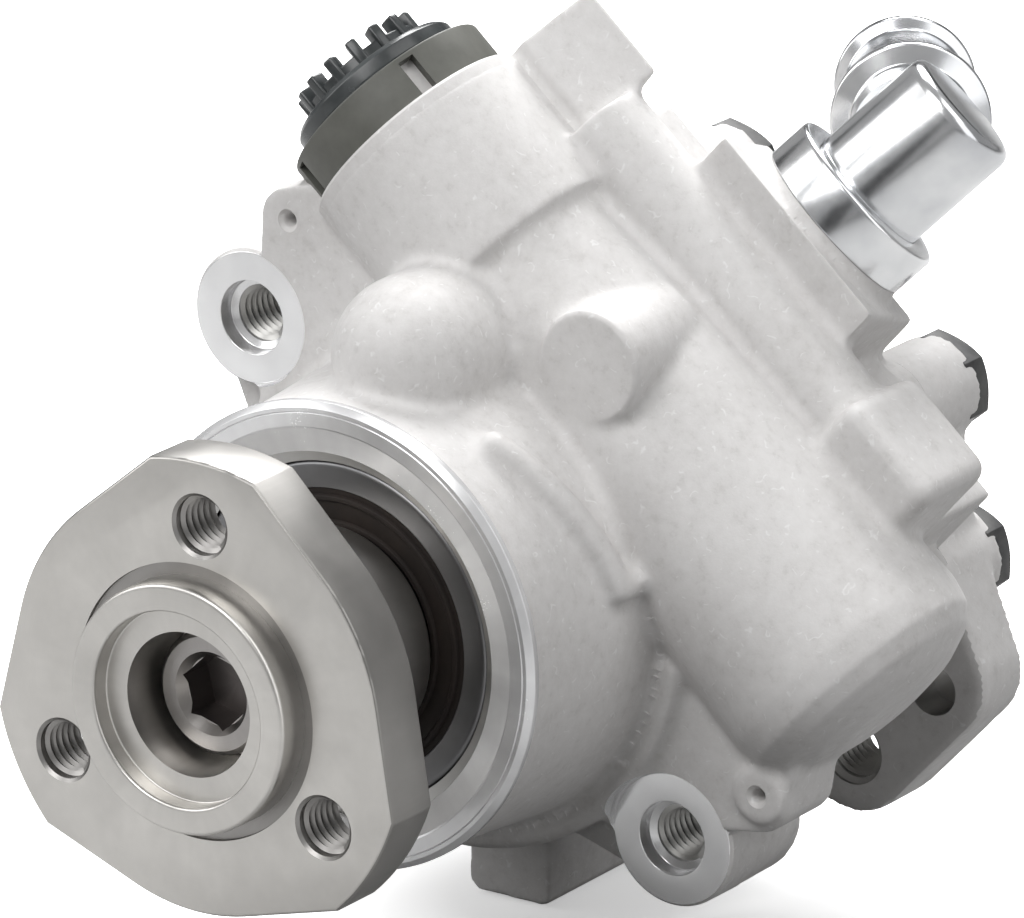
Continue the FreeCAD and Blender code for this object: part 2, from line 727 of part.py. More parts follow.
def make_housing():
    """The main casting, with its machined nose, bores, ears and seats."""
    reach, face = plain(size.ear_reach), plain(size.ear_face)
    nose = turned("Nose", [
        (0, size.nose_face + 0.1),
        (size.nose_radius - 0.7, size.nose_face),
        (size.nose_radius, size.nose_face + 0.6),
        (size.nose_radius, size.nose_face + size.nose_band),
        (size.nose_cast_radius, size.nose_face + size.nose_band),
        (size.nose_cast_radius + 0.3, size.nose_face + size.nose_band + 1.0),
        (size.nose_flare, size.plate_face - 4.6),
        (size.nose_flare + 0.5, size.plate_face - 2.4),
        (size.nose_flare + 1.6, size.plate_face - 0.8),
        (size.nose_flare + 3.4, size.plate_face),
        (size.body_radius, size.plate_face),
        (size.body_radius, size.housing_back),
        (0, size.housing_back),
    ])
    parts = [nose]
    plate_back = plain(size.plate_face) + plain(size.plate_thick)
    for side, word in ((-1, "Left"), (1, "Right")):
        ear = (side * reach, 0.0, plain(size.ear_radius) + 0.35)
        lug = (side * plain(size.pin_lug_reach), plain(size.pin_lug_rise), plain(size.pin_lug_radius))
        root = (side * 32.0, 7.0, 13.0)
        port = (side * 34.0, plain(size.tube_rise) - 4.0, 11.0)
        parts.append(shaped(f"EarWeb{word}", hull_of_circles(
            (side * 15.0, 2.0, 24.0), ear, face + plain(size.web_set_back), plate_back)))
        parts.append(shaped(f"EarFace{word}", hull_of_circles(
            (side * 30.0, 5.0, 12.0), (side * (reach - 1.0), 1.0, 7.0), face - 0.6, plate_back)))
        parts.append(shaped(f"LugWeb{word}", hull_of_circles(root, lug, face - 1.0, plate_back)))
        parts.append(shaped(f"LugRoot{word}", hull_of_circles(lug, port, face - 1.0, plate_back)))
        parts.append(rod(f"EarBoss{word}", "Y", size.ear_radius + 0.35, size.ear_back - size.ear_face + 1.0,
                         size.ear_reach * side, size.ear_face - 1.0, 0))
    parts.append(rod("PortBoss", "X", size.port_radius, size.port_end - size.port_boss,
                     -size.port_end, size.tube_back, size.tube_rise))
    parts.append(taper("ValveTube", "X", size.tube_radius, size.tube_far_radius, size.tube_far + size.port_boss,
                       -size.port_boss, size.tube_back, size.tube_rise))
    parts.append(turned("TubeEnd", [
        (0, size.tube_far - 1),
        (size.tube_far_radius, size.tube_far - 1),
        (size.tube_far_radius, size.tube_far),
        (size.tube_far_radius - 1.0, size.tube_far + 3.6),
        (size.tube_far_radius - 3.2, size.tube_far + 6.0),
        (size.tube_end_radius, size.tube_end - 0.9),
        (size.tube_end_radius - 4.0, size.tube_end),
        (0, size.tube_end),
    ], along="X", back=size.tube_back, rise=size.tube_rise))
    parts.append(rod("OutletCollar", "X", size.outlet_collar, size.outlet_collar_height + 1,
                     -size.port_end - size.outlet_collar_height, size.tube_back, size.tube_rise))
    parts.append(block("TubeSaddle", (-size.port_end + 12, size.plate_face + 2, 0),
                       (size.tube_far - 4, size.tube_back + 24, size.tube_rise + 6)))
    parts.append(rod("Gallery", "X", size.gallery_radius, size.gallery_left + size.gallery_right,
                     -size.gallery_left, size.gallery_back, size.gallery_rise))
    parts.append(block("GallerySaddle", (-size.gallery_left, size.gallery_back - 2, size.tube_rise - 4),
                       (size.gallery_right + 12, size.housing_back - 4, size.gallery_rise - 3)))
    low = plain(size.tube_rise)
    horn = sloped_block(
        plain(-size.horn_reach - size.horn_width / 2), plain(-size.horn_reach + size.horn_width / 2),
        plain(size.horn_front), plain(size.horn_front + size.horn_deep),
        low, plain(size.horn_rise), plain(size.horn_back_rise))
    parts.append(shaped("Horn", horn.makeFillet(plain(size.horn_corner), [
        edge for edge in horn.Edges if max(vertex.Point.z for vertex in edge.Vertexes) > low + 1])))
    knob = turned_up("Knob", [
        (0, size.tube_rise),
        (size.knob_radius, size.tube_rise),
        (size.knob_radius, size.knob_rise - size.knob_corner),
        (size.knob_radius - size.knob_corner * 0.3, size.knob_rise - size.knob_corner * 0.3),
        (size.knob_radius - size.knob_corner, size.knob_rise),
        (0, size.knob_rise),
    ], size.knob_reach, size.knob_back)
    parts.append(knob)
    parts.append(rod("RoundBoss", "Y", size.boss_radius, size.tube_back - size.boss_face,
                     -size.boss_reach, size.boss_face, size.boss_rise))
    parts.append(ball("Dome", size.dome_radius, -size.dome_reach, size.dome_front + size.dome_radius,
                      size.dome_rise))
    parts.append(rod("DomeBoss", "Y", size.dome_radius, 12.0,
                     -size.dome_reach, size.dome_front + size.dome_radius, size.dome_rise))
    rib_start = Vector(-3.0, 41.5, plain(size.nose_cast_radius) - 0.2)
    rib_stop = Vector(18.5, 49.0, 26.9)
    rib = rib_stop - rib_start
    parts.append(shaped("Rib", Part.makeCylinder(plain(size.rib_radius), rib.Length, rib_start, rib)))
    parts.append(make_foot())
    parts.append(make_inlet_block())
    for step in range(int(plain(size.cover_bolt_count))):
        x, z = around(cover_bolt_circle, size.cover_bolt_angle + 90 * step)
        start = size.bolt_boss_front
        parts.append(rod(f"BoltBoss{step}", "Y", size.bolt_boss, size.housing_back - start, x, start, z))
    x, z = around(cover_bolt_circle, size.top_bolt_angle)
    parts.append(rod("BoltBossTop", "Y", size.bolt_boss, size.housing_back - size.bolt_boss_front,
                     x, size.bolt_boss_front, z))
    whole = join("HousingWhole", parts)

    tools = [
        turned("NoseBore", [
            (0, size.nose_face - 1),
            (size.nose_mouth + 3.6, size.nose_face - 1),
            (size.nose_mouth + 3.6, size.nose_face + 0.2),
            (size.nose_mouth, size.nose_face + size.nose_mouth_depth),
            (size.nose_mouth, bearing_front),
            (size.bearing_outer, bearing_front),
            (size.bearing_outer, bearing_back),
            (size.bearing_shoulder, bearing_back),
            (size.bearing_shoulder, bearing_back + 0.8),
            (size.seal_bore, bearing_back + 0.8),
            (size.seal_bore, seal_back),
            (size.web_bore, seal_back),
            (size.web_bore, size.cavity_front),
            (size.cavity_radius, size.cavity_front),
            (size.cavity_radius, size.housing_back + 1),
            (0, size.housing_back + 1),
        ]),
        rod("ValveBore", "X", size.valve_bore, size.port_end + size.valve_bore_end + 1,
            -size.port_end - 1, size.tube_back, size.tube_rise),
        rod("PortThread", "X", size.port_thread, size.port_thread_depth + size.outlet_collar_height + 1,
            -size.port_end - size.outlet_collar_height - 1, size.tube_back, size.tube_rise),
        make_inlet_bore(),
    ]
    for side, word in ((-1, "Left"), (1, "Right")):
        tools.append(rod(f"EarSpotFace{word}", "Y", size.ear_radius, 6.0,
                         size.ear_reach * side, size.ear_face - 6.0, 0))
        tools.append(rod(f"EarThread{word}", "Y", size.ear_thread, size.ear_back - size.ear_face + 2,
                         size.ear_reach * side, size.ear_face - 1, 0))
        tools.append(rod(f"EarMouth{word}", "Y", size.ear_mouth, size.ear_mouth_depth + 1,
                         size.ear_reach * side, size.ear_face - 1, 0))
        tools.append(rod(f"PinHole{word}", "Y", size.pin_hole, size.pin_hole_depth + 1,
                         size.pin_lug_reach * side, size.ear_face - 2, size.pin_lug_rise))
    for step, (x, z) in enumerate(cover_bolt_places()):
        depth = size.bolt_length - size.cover_thick + 1.5
        tools.append(rod(f"BoltThread{step}", "Y", size.bolt_shank, depth + 1,
                         x, size.housing_back - depth, z))
    finish_node("pump_housing", carve("Housing", whole, tools))


def cover_bolt_places():
    angles = [plain(size.cover_bolt_angle) + 90 * step for step in range(int(plain(size.cover_bolt_count)))]
    angles.append(plain(size.top_bolt_angle))
    return [around(cover_bolt_circle, angle) for angle in angles]


def turned_up(name, rows, reach, back):
    """A turned form that stands up the Z axis."""
    body = turned(name, rows)
    body.Placement = FreeCAD.Placement(
        Vector(plain(reach), plain(back), 0), FreeCAD.Rotation(Vector(0, 1, 0), Vector(0, 0, 1)))
    bind_place(body, reach, back, 0)
    return body


def make_foot():
    """The blunt lug in front of the lowest cover bolt."""
    front, width = plain(size.foot_front), plain(size.foot_width)
    foot = Part.makeBox(
        plain(foot_reach) - 20.0, plain(size.housing_back) - front, width, Vector(20.0, front, -width / 2))
    foot = foot.makeFillet(2.0, [edge for edge in foot.Edges if min(v.Point.x for v in edge.Vertexes) > 21.0])
    foot.rotate(Vector(), Vector(0, 1, 0), -plain(size.foot_angle))
    return shaped("Foot", foot)


def tilted(shape):
    """Leans a piece drawn up the Z axis back by the inlet's tilt and stands it on the inlet's seat."""
    shape.rotate(Vector(), Vector(1, 0, 0), -plain(size.inlet_tilt))
    shape.translate(Vector(-plain(size.inlet_side), plain(size.inlet_back), plain(size.inlet_rise)))
    return shape


def sloped_block(left, right, front, back, low, rise_front, rise_back):
    """A block whose top slopes from the rise of its front to the rise of its back."""
    corners = [Vector(left, front, low), Vector(left, front, rise_front),
               Vector(left, back, rise_back), Vector(left, back, low)]
    return Part.Face(Part.makePolygon(corners + corners[:1])).extrude(Vector(right - left, 0, 0))


def make_inlet_block():
    """The raised block that carries the inlet's round seat, with a top that leans back with the can."""
    front, back = plain(size.block_front), plain(size.block_back)
    lean = math.tan(math.radians(plain(size.inlet_tilt)))
    top = plain(size.inlet_rise) - plain(size.seat_step)
    raised = sloped_block(
        -plain(size.block_left), plain(size.block_right), front, back, plain(size.tube_rise),
        top + (plain(size.inlet_back) - front) * lean, top + (plain(size.inlet_back) - back) * lean)
    depth = plain(size.seat_depth)
    seat = Part.makeCylinder(plain(size.collar_radius) + plain(size.seat_margin), depth, Vector(0, 0, -depth))
    return shaped("InletBlock", raised.fuse(tilted(seat)))


def make_inlet_bore():
    depth = plain(size.inlet_bore_depth)
    return shaped("InletBore", tilted(Part.makeCylinder(plain(size.inlet_bore), depth + 1, Vector(0, 0, -depth))))


def make_cover():
    """Rear cover: a second casting with a spigot, the rear bush bore, bolt bosses and the rear ear."""
    back, thick = plain(size.housing_back), plain(size.cover_thick)
    ear_front = plain(size.rear_ear_face)
    ear_back = ear_front + plain(size.rear_ear_thick)
    ring_inside = size.cavity_radius + 1.2
    ring_outside = ring_inside + size.ring_section * 2
    disc = turned("CoverDisc", [
        (0, rear_plate_back + size.fit_gap),
        (size.cavity_radius - size.fit_gap, rear_plate_back + size.fit_gap),
        (size.cavity_radius - size.fit_gap, size.housing_back),
        (ring_inside, size.housing_back),
        (ring_inside, size.housing_back + size.ring_groove),
        (ring_outside, size.housing_back + size.ring_groove),
        (ring_outside, size.housing_back),
        (size.body_radius, size.housing_back),
        (size.body_radius, cover_back - 1.5),
        (size.body_radius - 1.5, cover_back),
        (0, cover_back),
    ])
    parts = [disc]
    places = cover_bolt_places()
    for step, (x, z) in enumerate(places):
        parts.append(rod(f"CoverBoss{step}", "Y", size.bolt_boss, size.cover_thick, x, size.housing_back, z))
    parts.append(taper("CoverNose", "Y", size.rear_journal + 10.0, size.rear_journal + 6.0, 5.0,
                       0, cover_back, 0))
    ear = (plain(rear_ear_reach), 0.0, plain(size.rear_ear_radius))
    tab = (plain(rear_tab_reach), plain(size.rear_tab_rise), plain(size.rear_tab_radius))
    corner = (places[0][0], places[0][1], plain(size.bolt_boss))
    centre = (14.0, 0.0, plain(size.body_radius) * 0.6)
    top = (places[-1][0], places[-1][1], plain(size.bolt_boss) - 2.0)
    corner_web = (places[0][0], places[0][1], plain(size.bolt_boss) - 2.0)
    parts.append(shaped("CoverWeb", hull_of_circles(top, corner_web, back, back + thick)))
    for name, first, second in (("Ear", centre, ear), ("Tab", ear, tab), ("Corner", tab, corner)):
        parts.append(shaped(f"Rear{name}", hull_of_circles(first, second, ear_front, ear_back)))
    whole = join("CoverWhole", parts)
    tools = [
        rod("BushBore", "Y", size.rear_journal + size.bush_wall, 40.0, 0, rear_plate_back - 1, 0),
        rod("RearEarThread", "Y", size.ear_thread, size.rear_ear_thick + 2, rear_ear_reach, ear_front - 1, 0),
        rod("RearPocket", "Y", size.rear_pocket, size.rear_pocket_depth + 1,
            rear_tab_reach + 1.5, ear_front - 1, size.rear_tab_rise - 0.5),
    ]
    for step, (x, z) in enumerate(places):
        tools.append(rod(f"CoverHole{step}", "Y", size.bolt_shank + size.bolt_clearance, size.cover_thick + 2,
                         x, size.housing_back - 1, z))
    tools[0].setExpression("Height", (size.rear_journal_end - rear_plate_back + 2.5).text)
    finish_node("rear_cover", carve("RearCover", whole, tools))
    finish_node("rear_bush", turned("RearBush", ring_rows(
        size.rear_journal + size.running_gap, size.rear_journal + size.bush_wall,
        cover_back - size.bush_length, cover_back)))
    finish_node("cover_o_ring", turned("CoverRing", ring_rows(
        ring_inside + size.fit_gap, ring_outside - size.fit_gap,
        size.housing_back, size.housing_back + size.ring_groove)))

    bolts = []
    for x, z in places:
        flats = plain(size.bolt_head) / math.cos(math.radians(30))
        top = back + thick
        corners = [Vector(x + flats * math.cos(math.radians(60 * k + 20)), top,
                          z + flats * math.sin(math.radians(60 * k + 20))) for k in range(7)]
        head = Part.Face(Part.makePolygon(corners)).extrude(Vector(0, plain(size.bolt_head_height), 0))
        crown = Part.makeCone(
            flats + 3.0, flats - 0.9, plain(size.bolt_head_height) + 0.001, Vector(x, top, z), Vector(0, 1, 0))
        shank = Part.makeCylinder(
            plain(size.bolt_shank), plain(size.bolt_length), Vector(x, top - plain(size.bolt_length), z),
            Vector(0, 1, 0))
        bolts.append(head.common(crown).fuse(shank))
    finish_node("cover_bolts", shaped("CoverBolts", Part.makeCompound(bolts)))


def make_inlet():
    """Suction fitting of zinc-plated steel: a pressed collar, a drawn can standing in it, and a beaded stub."""
    collar, can = plain(size.collar_radius), plain(size.can_radius)
    height, wall = plain(size.collar_height), plain(size.collar_wall)
    shoulder = plain(size.collar_shoulder)
    ring = Part.makeCylinder(collar, height, Vector(0, 0, 0.0))
    ring = ring.cut(Part.makeCylinder(collar - wall, height - shoulder, Vector()))
    ring = ring.cut(Part.makeCylinder(can, height + 1, Vector()))
    finish_node("inlet_collar", shaped("InletCollar", tilted(ring)))

    depth, top = plain(size.inlet_bore_depth) - 6.0, plain(size.can_top)
    can_wall, corner = plain(size.can_wall), plain(size.can_corner)
    inner = can - can_wall
    spine = [Vector(0, 0, top), Vector(can - corner, 0, top)]
    arc_middle = Vector(can - corner + corner * math.sin(math.pi / 4), 0,
                        top - corner + corner * math.cos(math.pi / 4))
    outer_edges = [
        Part.LineSegment(spine[0], spine[1]).toShape(),
        Part.Arc(spine[1], arc_middle, Vector(can, 0, top - corner)).toShape(),
        Part.LineSegment(Vector(can, 0, top - corner), Vector(can, 0, 0)).toShape(),
        Part.LineSegment(Vector(can, 0, 0), Vector(plain(size.inlet_bore) - 0.02, 0, 0)).toShape(),
        Part.LineSegment(Vector(plain(size.inlet_bore) - 0.02, 0, 0),
                         Vector(plain(size.inlet_bore) - 0.02, 0, -depth)).toShape(),
        Part.LineSegment(Vector(plain(size.inlet_bore) - 0.02, 0, -depth), Vector(inner, 0, -depth)).toShape(),
        Part.LineSegment(Vector(inner, 0, -depth), Vector(inner, 0, top - corner)).toShape(),
        Part.LineSegment(Vector(inner, 0, top - corner), Vector(inner - 1.0, 0, top - can_wall)).toShape(),
        Part.LineSegment(Vector(inner - 1.0, 0, top - can_wall), Vector(0, 0, top - can_wall)).toShape(),
        Part.LineSegment(Vector(0, 0, top - can_wall), spine[0]).toShape(),
    ]
    shell = Part.Face(Part.Wire(outer_edges)).revolve(Vector(), Vector(0, 0, 1), 360)
    start = Vector(0, 0, plain(size.stub_height))
    aim = Vector(-plain(size.stub_side), 1, 0)
    aim.normalize()
    through = Part.makeCylinder(plain(size.stub_radius), plain(size.stub_length), start, aim)
    shell = shell.cut(through)
    finish_node("inlet_can", shaped("InletCan", tilted(shell)))

    radius, length = plain(size.stub_radius), plain(size.stub_length)
    tube = Part.makeCylinder(radius, length, start, aim)
    for place, bead in ((size.near_bead, size.near_bead_radius), (size.far_bead, size.far_bead_radius)):
        thick = plain(size.bead_thick)
        centre = start + aim * plain(place)
        ring = Part.makeCylinder(plain(bead) - thick / 2, thick, centre - aim * (thick / 2), aim)
        rim = Part.makeTorus(plain(bead) - thick / 2, thick / 2, centre, aim)
        tube = tube.fuse(ring).fuse(rim)
    tube = tube.cut(Part.makeCylinder(radius - can_wall, length + 2, start - aim, aim))
    tube = tube.cut(Part.makeCylinder(can - 0.001, top * 2, Vector()))
    finish_node("inlet_stub", shaped("InletStub", tilted(tube)))


def make_outlet():
    """Steel union in the port, the dark slotted sleeve round the port's collar, and the black transport cap."""
    end = -size.port_end - size.outlet_collar_height
    finish_node("outlet_union", turned("OutletUnion", [
        (size.union_bore, end + 0.6),
        (size.port_thread, end + 0.6),
        (size.port_thread, -size.port_end + size.port_thread_depth),
        (size.union_bore, -size.port_end + size.port_thread_depth),
    ], along="X", back=size.tube_back, rise=size.tube_rise))

    sleeve = turned("SleeveBlank", ring_rows(size.outlet_collar, size.sleeve_radius, end, -size.port_end),
                    along="X", back=size.tube_back, rise=size.tube_rise)
    slots = []
    count = int(plain(size.sleeve_slot_count))
    width = plain(size.sleeve_slot)
    for step in range(count):
        slot = Part.makeBox(
            plain(size.outlet_collar_height), width, 6.0,
            Vector(plain(end) + plain(size.sleeve_rim), -width / 2, plain(size.sleeve_radius) - 3.0))
        slot.rotate(Vector(), Vector(1, 0, 0), plain(size.sleeve_slot_angle) + 360 / count * step)
        slot.translate(Vector(0, plain(size.tube_back), plain(size.tube_rise)))
        slots.append(slot)
    cutters = shaped("SleeveSlots", Part.makeCompound(slots))
    finish_node("port_sleeve", carve("PortSleeve", sleeve, [cutters]))

    plug = turned("CapBody", [
        (0, end - size.cap_thick + 0.8),
        (size.cap_crown - size.cap_wall, end - size.cap_thick + 0.8),
        (size.cap_crown - size.cap_wall, end - size.cap_thick - size.cap_crown_height + 2.0),
        (size.cap_crown, end - size.cap_thick - size.cap_crown_height + 2.0),
        (size.cap_crown, end - size.cap_thick),
        (size.cap_skirt - 0.6, end - size.cap_thick),
        (size.cap_skirt, end - size.cap_thick + 0.6),
        (size.cap_skirt, end),
        (size.cap_plug, end),
        (size.cap_plug, end + size.cap_plug_length),
        (0, end + size.cap_plug_length),
    ], along="X", back=size.tube_back, rise=size.tube_rise)
    teeth = []
    count = int(plain(size.cap_tooth_count))
    width = plain(size.cap_tooth_width)
    start = plain(end) - plain(size.cap_thick) - plain(size.cap_crown_height)
    for step in range(count):
        tooth = Part.makeBox(
            plain(size.cap_crown_height), width, plain(size.cap_wall) * 1.6,
            Vector(start, -width / 2, plain(size.cap_crown) - plain(size.cap_wall) * 1.3))
        tooth.rotate(Vector(), Vector(1, 0, 0), 360 / count * step)
        tooth.translate(Vector(0, plain(size.tube_back), plain(size.tube_rise)))
        teeth.append(tooth)
    crown = shaped("CapTeeth", Part.makeCompound(teeth))
    finish_node("port_cap", join("PortCap", [plug, crown]))


def make_valve():
    """Flow valve: a grooved spool held towards the outlet by a coil spring in the blind end of its bore."""
    radius = size.valve_bore - size.spool_gap
    start = -size.port_end + size.port_thread_depth + size.running_gap
    stop = start + size.spool_length
    finish_node("valve_spool", turned("ValveSpool", [
        (0, start),
        (size.spool_neck, start),
        (size.spool_neck, start + 3.0),
        (radius, start + 3.0),
        (radius, start + size.spool_land + 3.0),
        (size.spool_neck, start + size.spool_land + 3.0),
        (size.spool_neck, stop - size.spool_land * 1.6),
        (radius, stop - size.spool_land * 1.6),
        (radius, stop),
        (size.spool_bore, stop),
        (size.spool_bore, stop - size.spring_seat),
        (0, stop - size.spring_seat),
    ], along="X", back=size.tube_back, rise=size.tube_rise))
    wire = plain(size.spring_wire)
    low = plain(stop) - plain(size.spring_seat) + wire + 0.1
    high = plain(size.valve_bore_end) - wire - 0.3
    turns = int(plain(size.spring_turns))
    pitch = (high - low) / turns
    helix = Part.makeHelix(pitch, high - low, plain(size.spring_radius))
    section = Part.Wire(Part.Circle(Vector(plain(size.spring_radius), 0, 0), Vector(0, 1, 0), wire).toShape())
    coil = Part.Wire(helix).makePipeShell([section], True, True)
    coil.Placement = FreeCAD.Placement(
        Vector(low, plain(size.tube_back), plain(size.tube_rise)), ALONG["X"])
    finish_node("valve_spring", shaped("ValveSpring", Part.makeCompound([coil])))


make_drive_flange()
make_shaft()
make_bearing()
make_lip_seal()
make_cartridge()
make_housing()
make_cover()
make_inlet()
make_outlet()
make_valve()
doc.recompute()

for thing in doc.Objects:
    faults = [word for word in thing.State if word in ("Invalid", "Error")]
    if faults:
        raise RuntimeError(f"{thing.Name} is {faults}")
for node in nodes:
    if node.Shape.isNull() or not node.Shape.isValid():
        raise RuntimeError(f"{node.Label} has no valid shape")

os.makedirs("parts", exist_ok=True)
for node in nodes:
    node.Shape.exportStep(f"parts/{node.Label}.step")
    print(f"{node.Label:22s} {node.Shape.Volume:12.1f} mm3, {len(node.Shape.Solids)} solids")
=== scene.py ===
"""A power steering pump on white, lying on its lower front ear and the blunt lug of its housing."""

import math

import bmesh
import bpy
from mathutils import Matrix, Vector


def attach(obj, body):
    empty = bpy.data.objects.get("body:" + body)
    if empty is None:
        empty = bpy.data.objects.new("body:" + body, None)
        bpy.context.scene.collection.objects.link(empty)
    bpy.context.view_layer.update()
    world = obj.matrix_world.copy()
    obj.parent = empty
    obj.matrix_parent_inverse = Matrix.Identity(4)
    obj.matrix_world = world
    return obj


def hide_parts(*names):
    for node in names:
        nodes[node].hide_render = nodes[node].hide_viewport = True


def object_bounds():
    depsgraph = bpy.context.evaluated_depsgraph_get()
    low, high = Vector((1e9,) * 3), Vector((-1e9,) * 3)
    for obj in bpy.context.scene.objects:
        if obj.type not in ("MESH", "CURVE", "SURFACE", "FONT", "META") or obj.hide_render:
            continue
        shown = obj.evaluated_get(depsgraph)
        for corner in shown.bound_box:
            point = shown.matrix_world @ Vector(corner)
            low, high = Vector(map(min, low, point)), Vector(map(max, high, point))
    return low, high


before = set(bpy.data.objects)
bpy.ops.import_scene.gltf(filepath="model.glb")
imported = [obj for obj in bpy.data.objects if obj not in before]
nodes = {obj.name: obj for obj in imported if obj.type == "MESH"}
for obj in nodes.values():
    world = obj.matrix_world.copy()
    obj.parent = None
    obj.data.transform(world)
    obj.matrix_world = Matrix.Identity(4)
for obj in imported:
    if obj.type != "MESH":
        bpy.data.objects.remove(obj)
cad_box = [list(corner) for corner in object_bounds()]
studio = bpy.context.scene
studio.view_settings.view_transform = "Standard"

# The photographer's camera stands well back, a little above the pump and to its right, with a long lens.
lens = bpy.data.cameras.new("Camera")
lens.lens, lens.sensor_width, lens.clip_end = 317.2, 36.0, 20.0
camera = bpy.data.objects.new("Camera", lens)
studio.collection.objects.link(camera)
camera.matrix_world = Matrix((
    (0.8248, -0.1784, 0.5370, 0.6498),
    (0.5655, 0.2596, -0.7824, -0.8750),
    (0.0, 0.9494, 0.3149, 0.3943),
    (0.0, 0.0, 0.0, 1.0)))
studio.camera = camera

# The table is a white sweep lit by wide cloth-covered lamps. Its glow is weaker round the foot and the ear,
# a painted shade that darkens the floor there, so the real soft shadow shows only round these contacts; black
# cards beside it draw the dark streaks in the polished metal.
FLOOR, FLOOR_REACH = cad_box[0][2] - 0.0002, 6.0
FOOT_TOUCH, EAR_TOUCH = (0.004, 0.080), (0.036, 0.066)
ROOM_FILL, ROOM_IN_METAL = 0.02, 0.42
LAMP_SIDE, LAMP_AIM, CARD_AIM = 0.8, Vector((0.0, 0.05, 0.0)), Vector((0.03, 0.05, 0.02))


class Finish:
    """A material in the making: its shader, and one way to add a node to it."""

    def __init__(self, name):
        self.material = bpy.data.materials.new(name)
        self.material.use_nodes = True
        self.tree = self.material.node_tree
        self.shader = self.tree.nodes["Principled BSDF"]
        self.end = self.tree.nodes["Material Output"]

    def add(self, kind, settings=None, **values):
        node = self.tree.nodes.new(kind)
        for word, value in (settings or {}).items():
            if word == "stops":
                while len(node.color_ramp.elements) < len(value):
                    node.color_ramp.elements.new(0.5)
                for element, (place, level) in zip(node.color_ramp.elements, value):
                    element.position = place
                    element.color = grey(level)
            else:
                setattr(node, word, value)
        for word, value in values.items():
            socket = int(word[1:]) if word[1:].isdigit() else word.replace("_", " ")
            self.feed(node.inputs[socket], value)
        return Wire(self, node.outputs[0])

    def feed(self, socket, value):
        if isinstance(value, Wire):
            self.tree.links.new(value.socket, socket)
        else:
            socket.default_value = value

    def set(self, **values):
        for word, value in values.items():
            self.feed(self.shader.inputs[word.replace("_", " ")], value)
        return self.material

    def blend(self, amount, first, second):
        mixer = self.tree.nodes.new("ShaderNodeMix")
        mixer.data_type = "RGBA"
        self.feed(mixer.inputs[0], amount)
        self.feed(mixer.inputs[6], first)
        self.feed(mixer.inputs[7], second)
        return Wire(self, mixer.outputs[2])

    def place(self):
        return Wire(self, self.tree.nodes.new("ShaderNodeTexCoord").outputs["Object"])

    def noise(self, scale, detail=2.0, rough=0.5, at=None):
        return self.add("ShaderNodeTexNoise", None, Vector=at or self.place(), Scale=scale, Detail=detail,
                        Roughness=rough)

    def ramp(self, value, *stops):
        return self.add("ShaderNodeValToRGB", {"stops": stops}, Fac=value)

    def clouded(self, cloud, dark, light, low=0.35, high=0.7):
        """Two shades of one colour, which a cloudy noise mixes."""
        return self.blend(self.ramp(cloud, (low, 0.0), (high, 1.0)), (*dark, 1), (*light, 1))

    def bump(self, height, strength, distance, under=None):
        node = self.add("ShaderNodeBump", None, Strength=strength, Distance=distance, Height=height)
        if under is not None:
            self.feed(node.socket.node.inputs["Normal"], under)
        return node


class Wire:
    """One socket of a finish, on which Python's own signs do the sums."""

    def __init__(self, finish, socket):
        self.finish, self.socket = finish, socket

    def sum(self, operation, first, second):
        return self.finish.add("ShaderNodeMath", {"operation": operation}, _0=first, _1=second)

    def __add__(self, other):
        return self.sum("ADD", self, other)

    __radd__ = __add__

    def __sub__(self, other):
        return self.sum("SUBTRACT", self, other)

    def __rsub__(self, other):
        return self.sum("SUBTRACT", other, self)

    def __mul__(self, other):
        return self.sum("MULTIPLY", self, other)

    __rmul__ = __mul__

    def __truediv__(self, other):
        return self.sum("DIVIDE", self, other)

    def __pow__(self, other):
        return self.sum("POWER", self, other)

    def part(self, index):
        node = self.finish.add("ShaderNodeSeparateXYZ", None, Vector=self).socket.node
        return Wire(self.finish, node.outputs[index])


def grey(level):
    return level, level, level, 1


def sheet(name, corners, material):
    """A flat sheet of the studio, which is no part of the pump."""
    mesh = bpy.data.meshes.new(name)
    mesh.from_pydata(corners, [], [(0, 1, 2, 3)])
    mesh.materials.append(material)
    piece = bpy.data.objects.new(name, mesh)
    studio.collection.objects.link(piece)
    return piece


paper = Finish("WhitePaper")
rays = paper.tree.nodes.new("ShaderNodeLightPath")
seen = Wire(paper, rays.outputs["Is Camera Ray"])
bounced = Wire(paper, rays.outputs["Is Diffuse Ray"])
spot = paper.place()
from_foot, from_ear = (((spot.part(0) - x) ** 2 + (spot.part(1) - y) ** 2) ** 0.5
                       for x, y in (FOOT_TOUCH, EAR_TOUCH))
nearest = paper.add("ShaderNodeMath", {"operation": "MINIMUM"}, _0=from_foot, _1=from_ear)
# Painted shade: the glow fades out towards the foot and the ear, so the floor is darker round them whatever
# the lamps do.
clear = paper.ramp(nearest * 10.0, (0.16, 0.0), (0.42, 1.0))
shown = paper.blend(seen, grey(0.55), grey(0.93))
paper.set(Base_Color=paper.blend(bounced, shown, grey(0.08)), Roughness=0.9)
glow = paper.add("ShaderNodeEmission", None, Color=grey(1), Strength=seen * (0.42 + clear * 0.6))
lit = paper.add("ShaderNodeAddShader", None, _0=Wire(paper, paper.shader.outputs[0]), _1=glow)
paper.feed(paper.end.inputs["Surface"], lit)
sheet("Sweep", [(x * FLOOR_REACH, y * FLOOR_REACH, FLOOR) for x, y in ((-1, -1), (1, -1), (1, 1), (-1, 1))],
      paper.material)

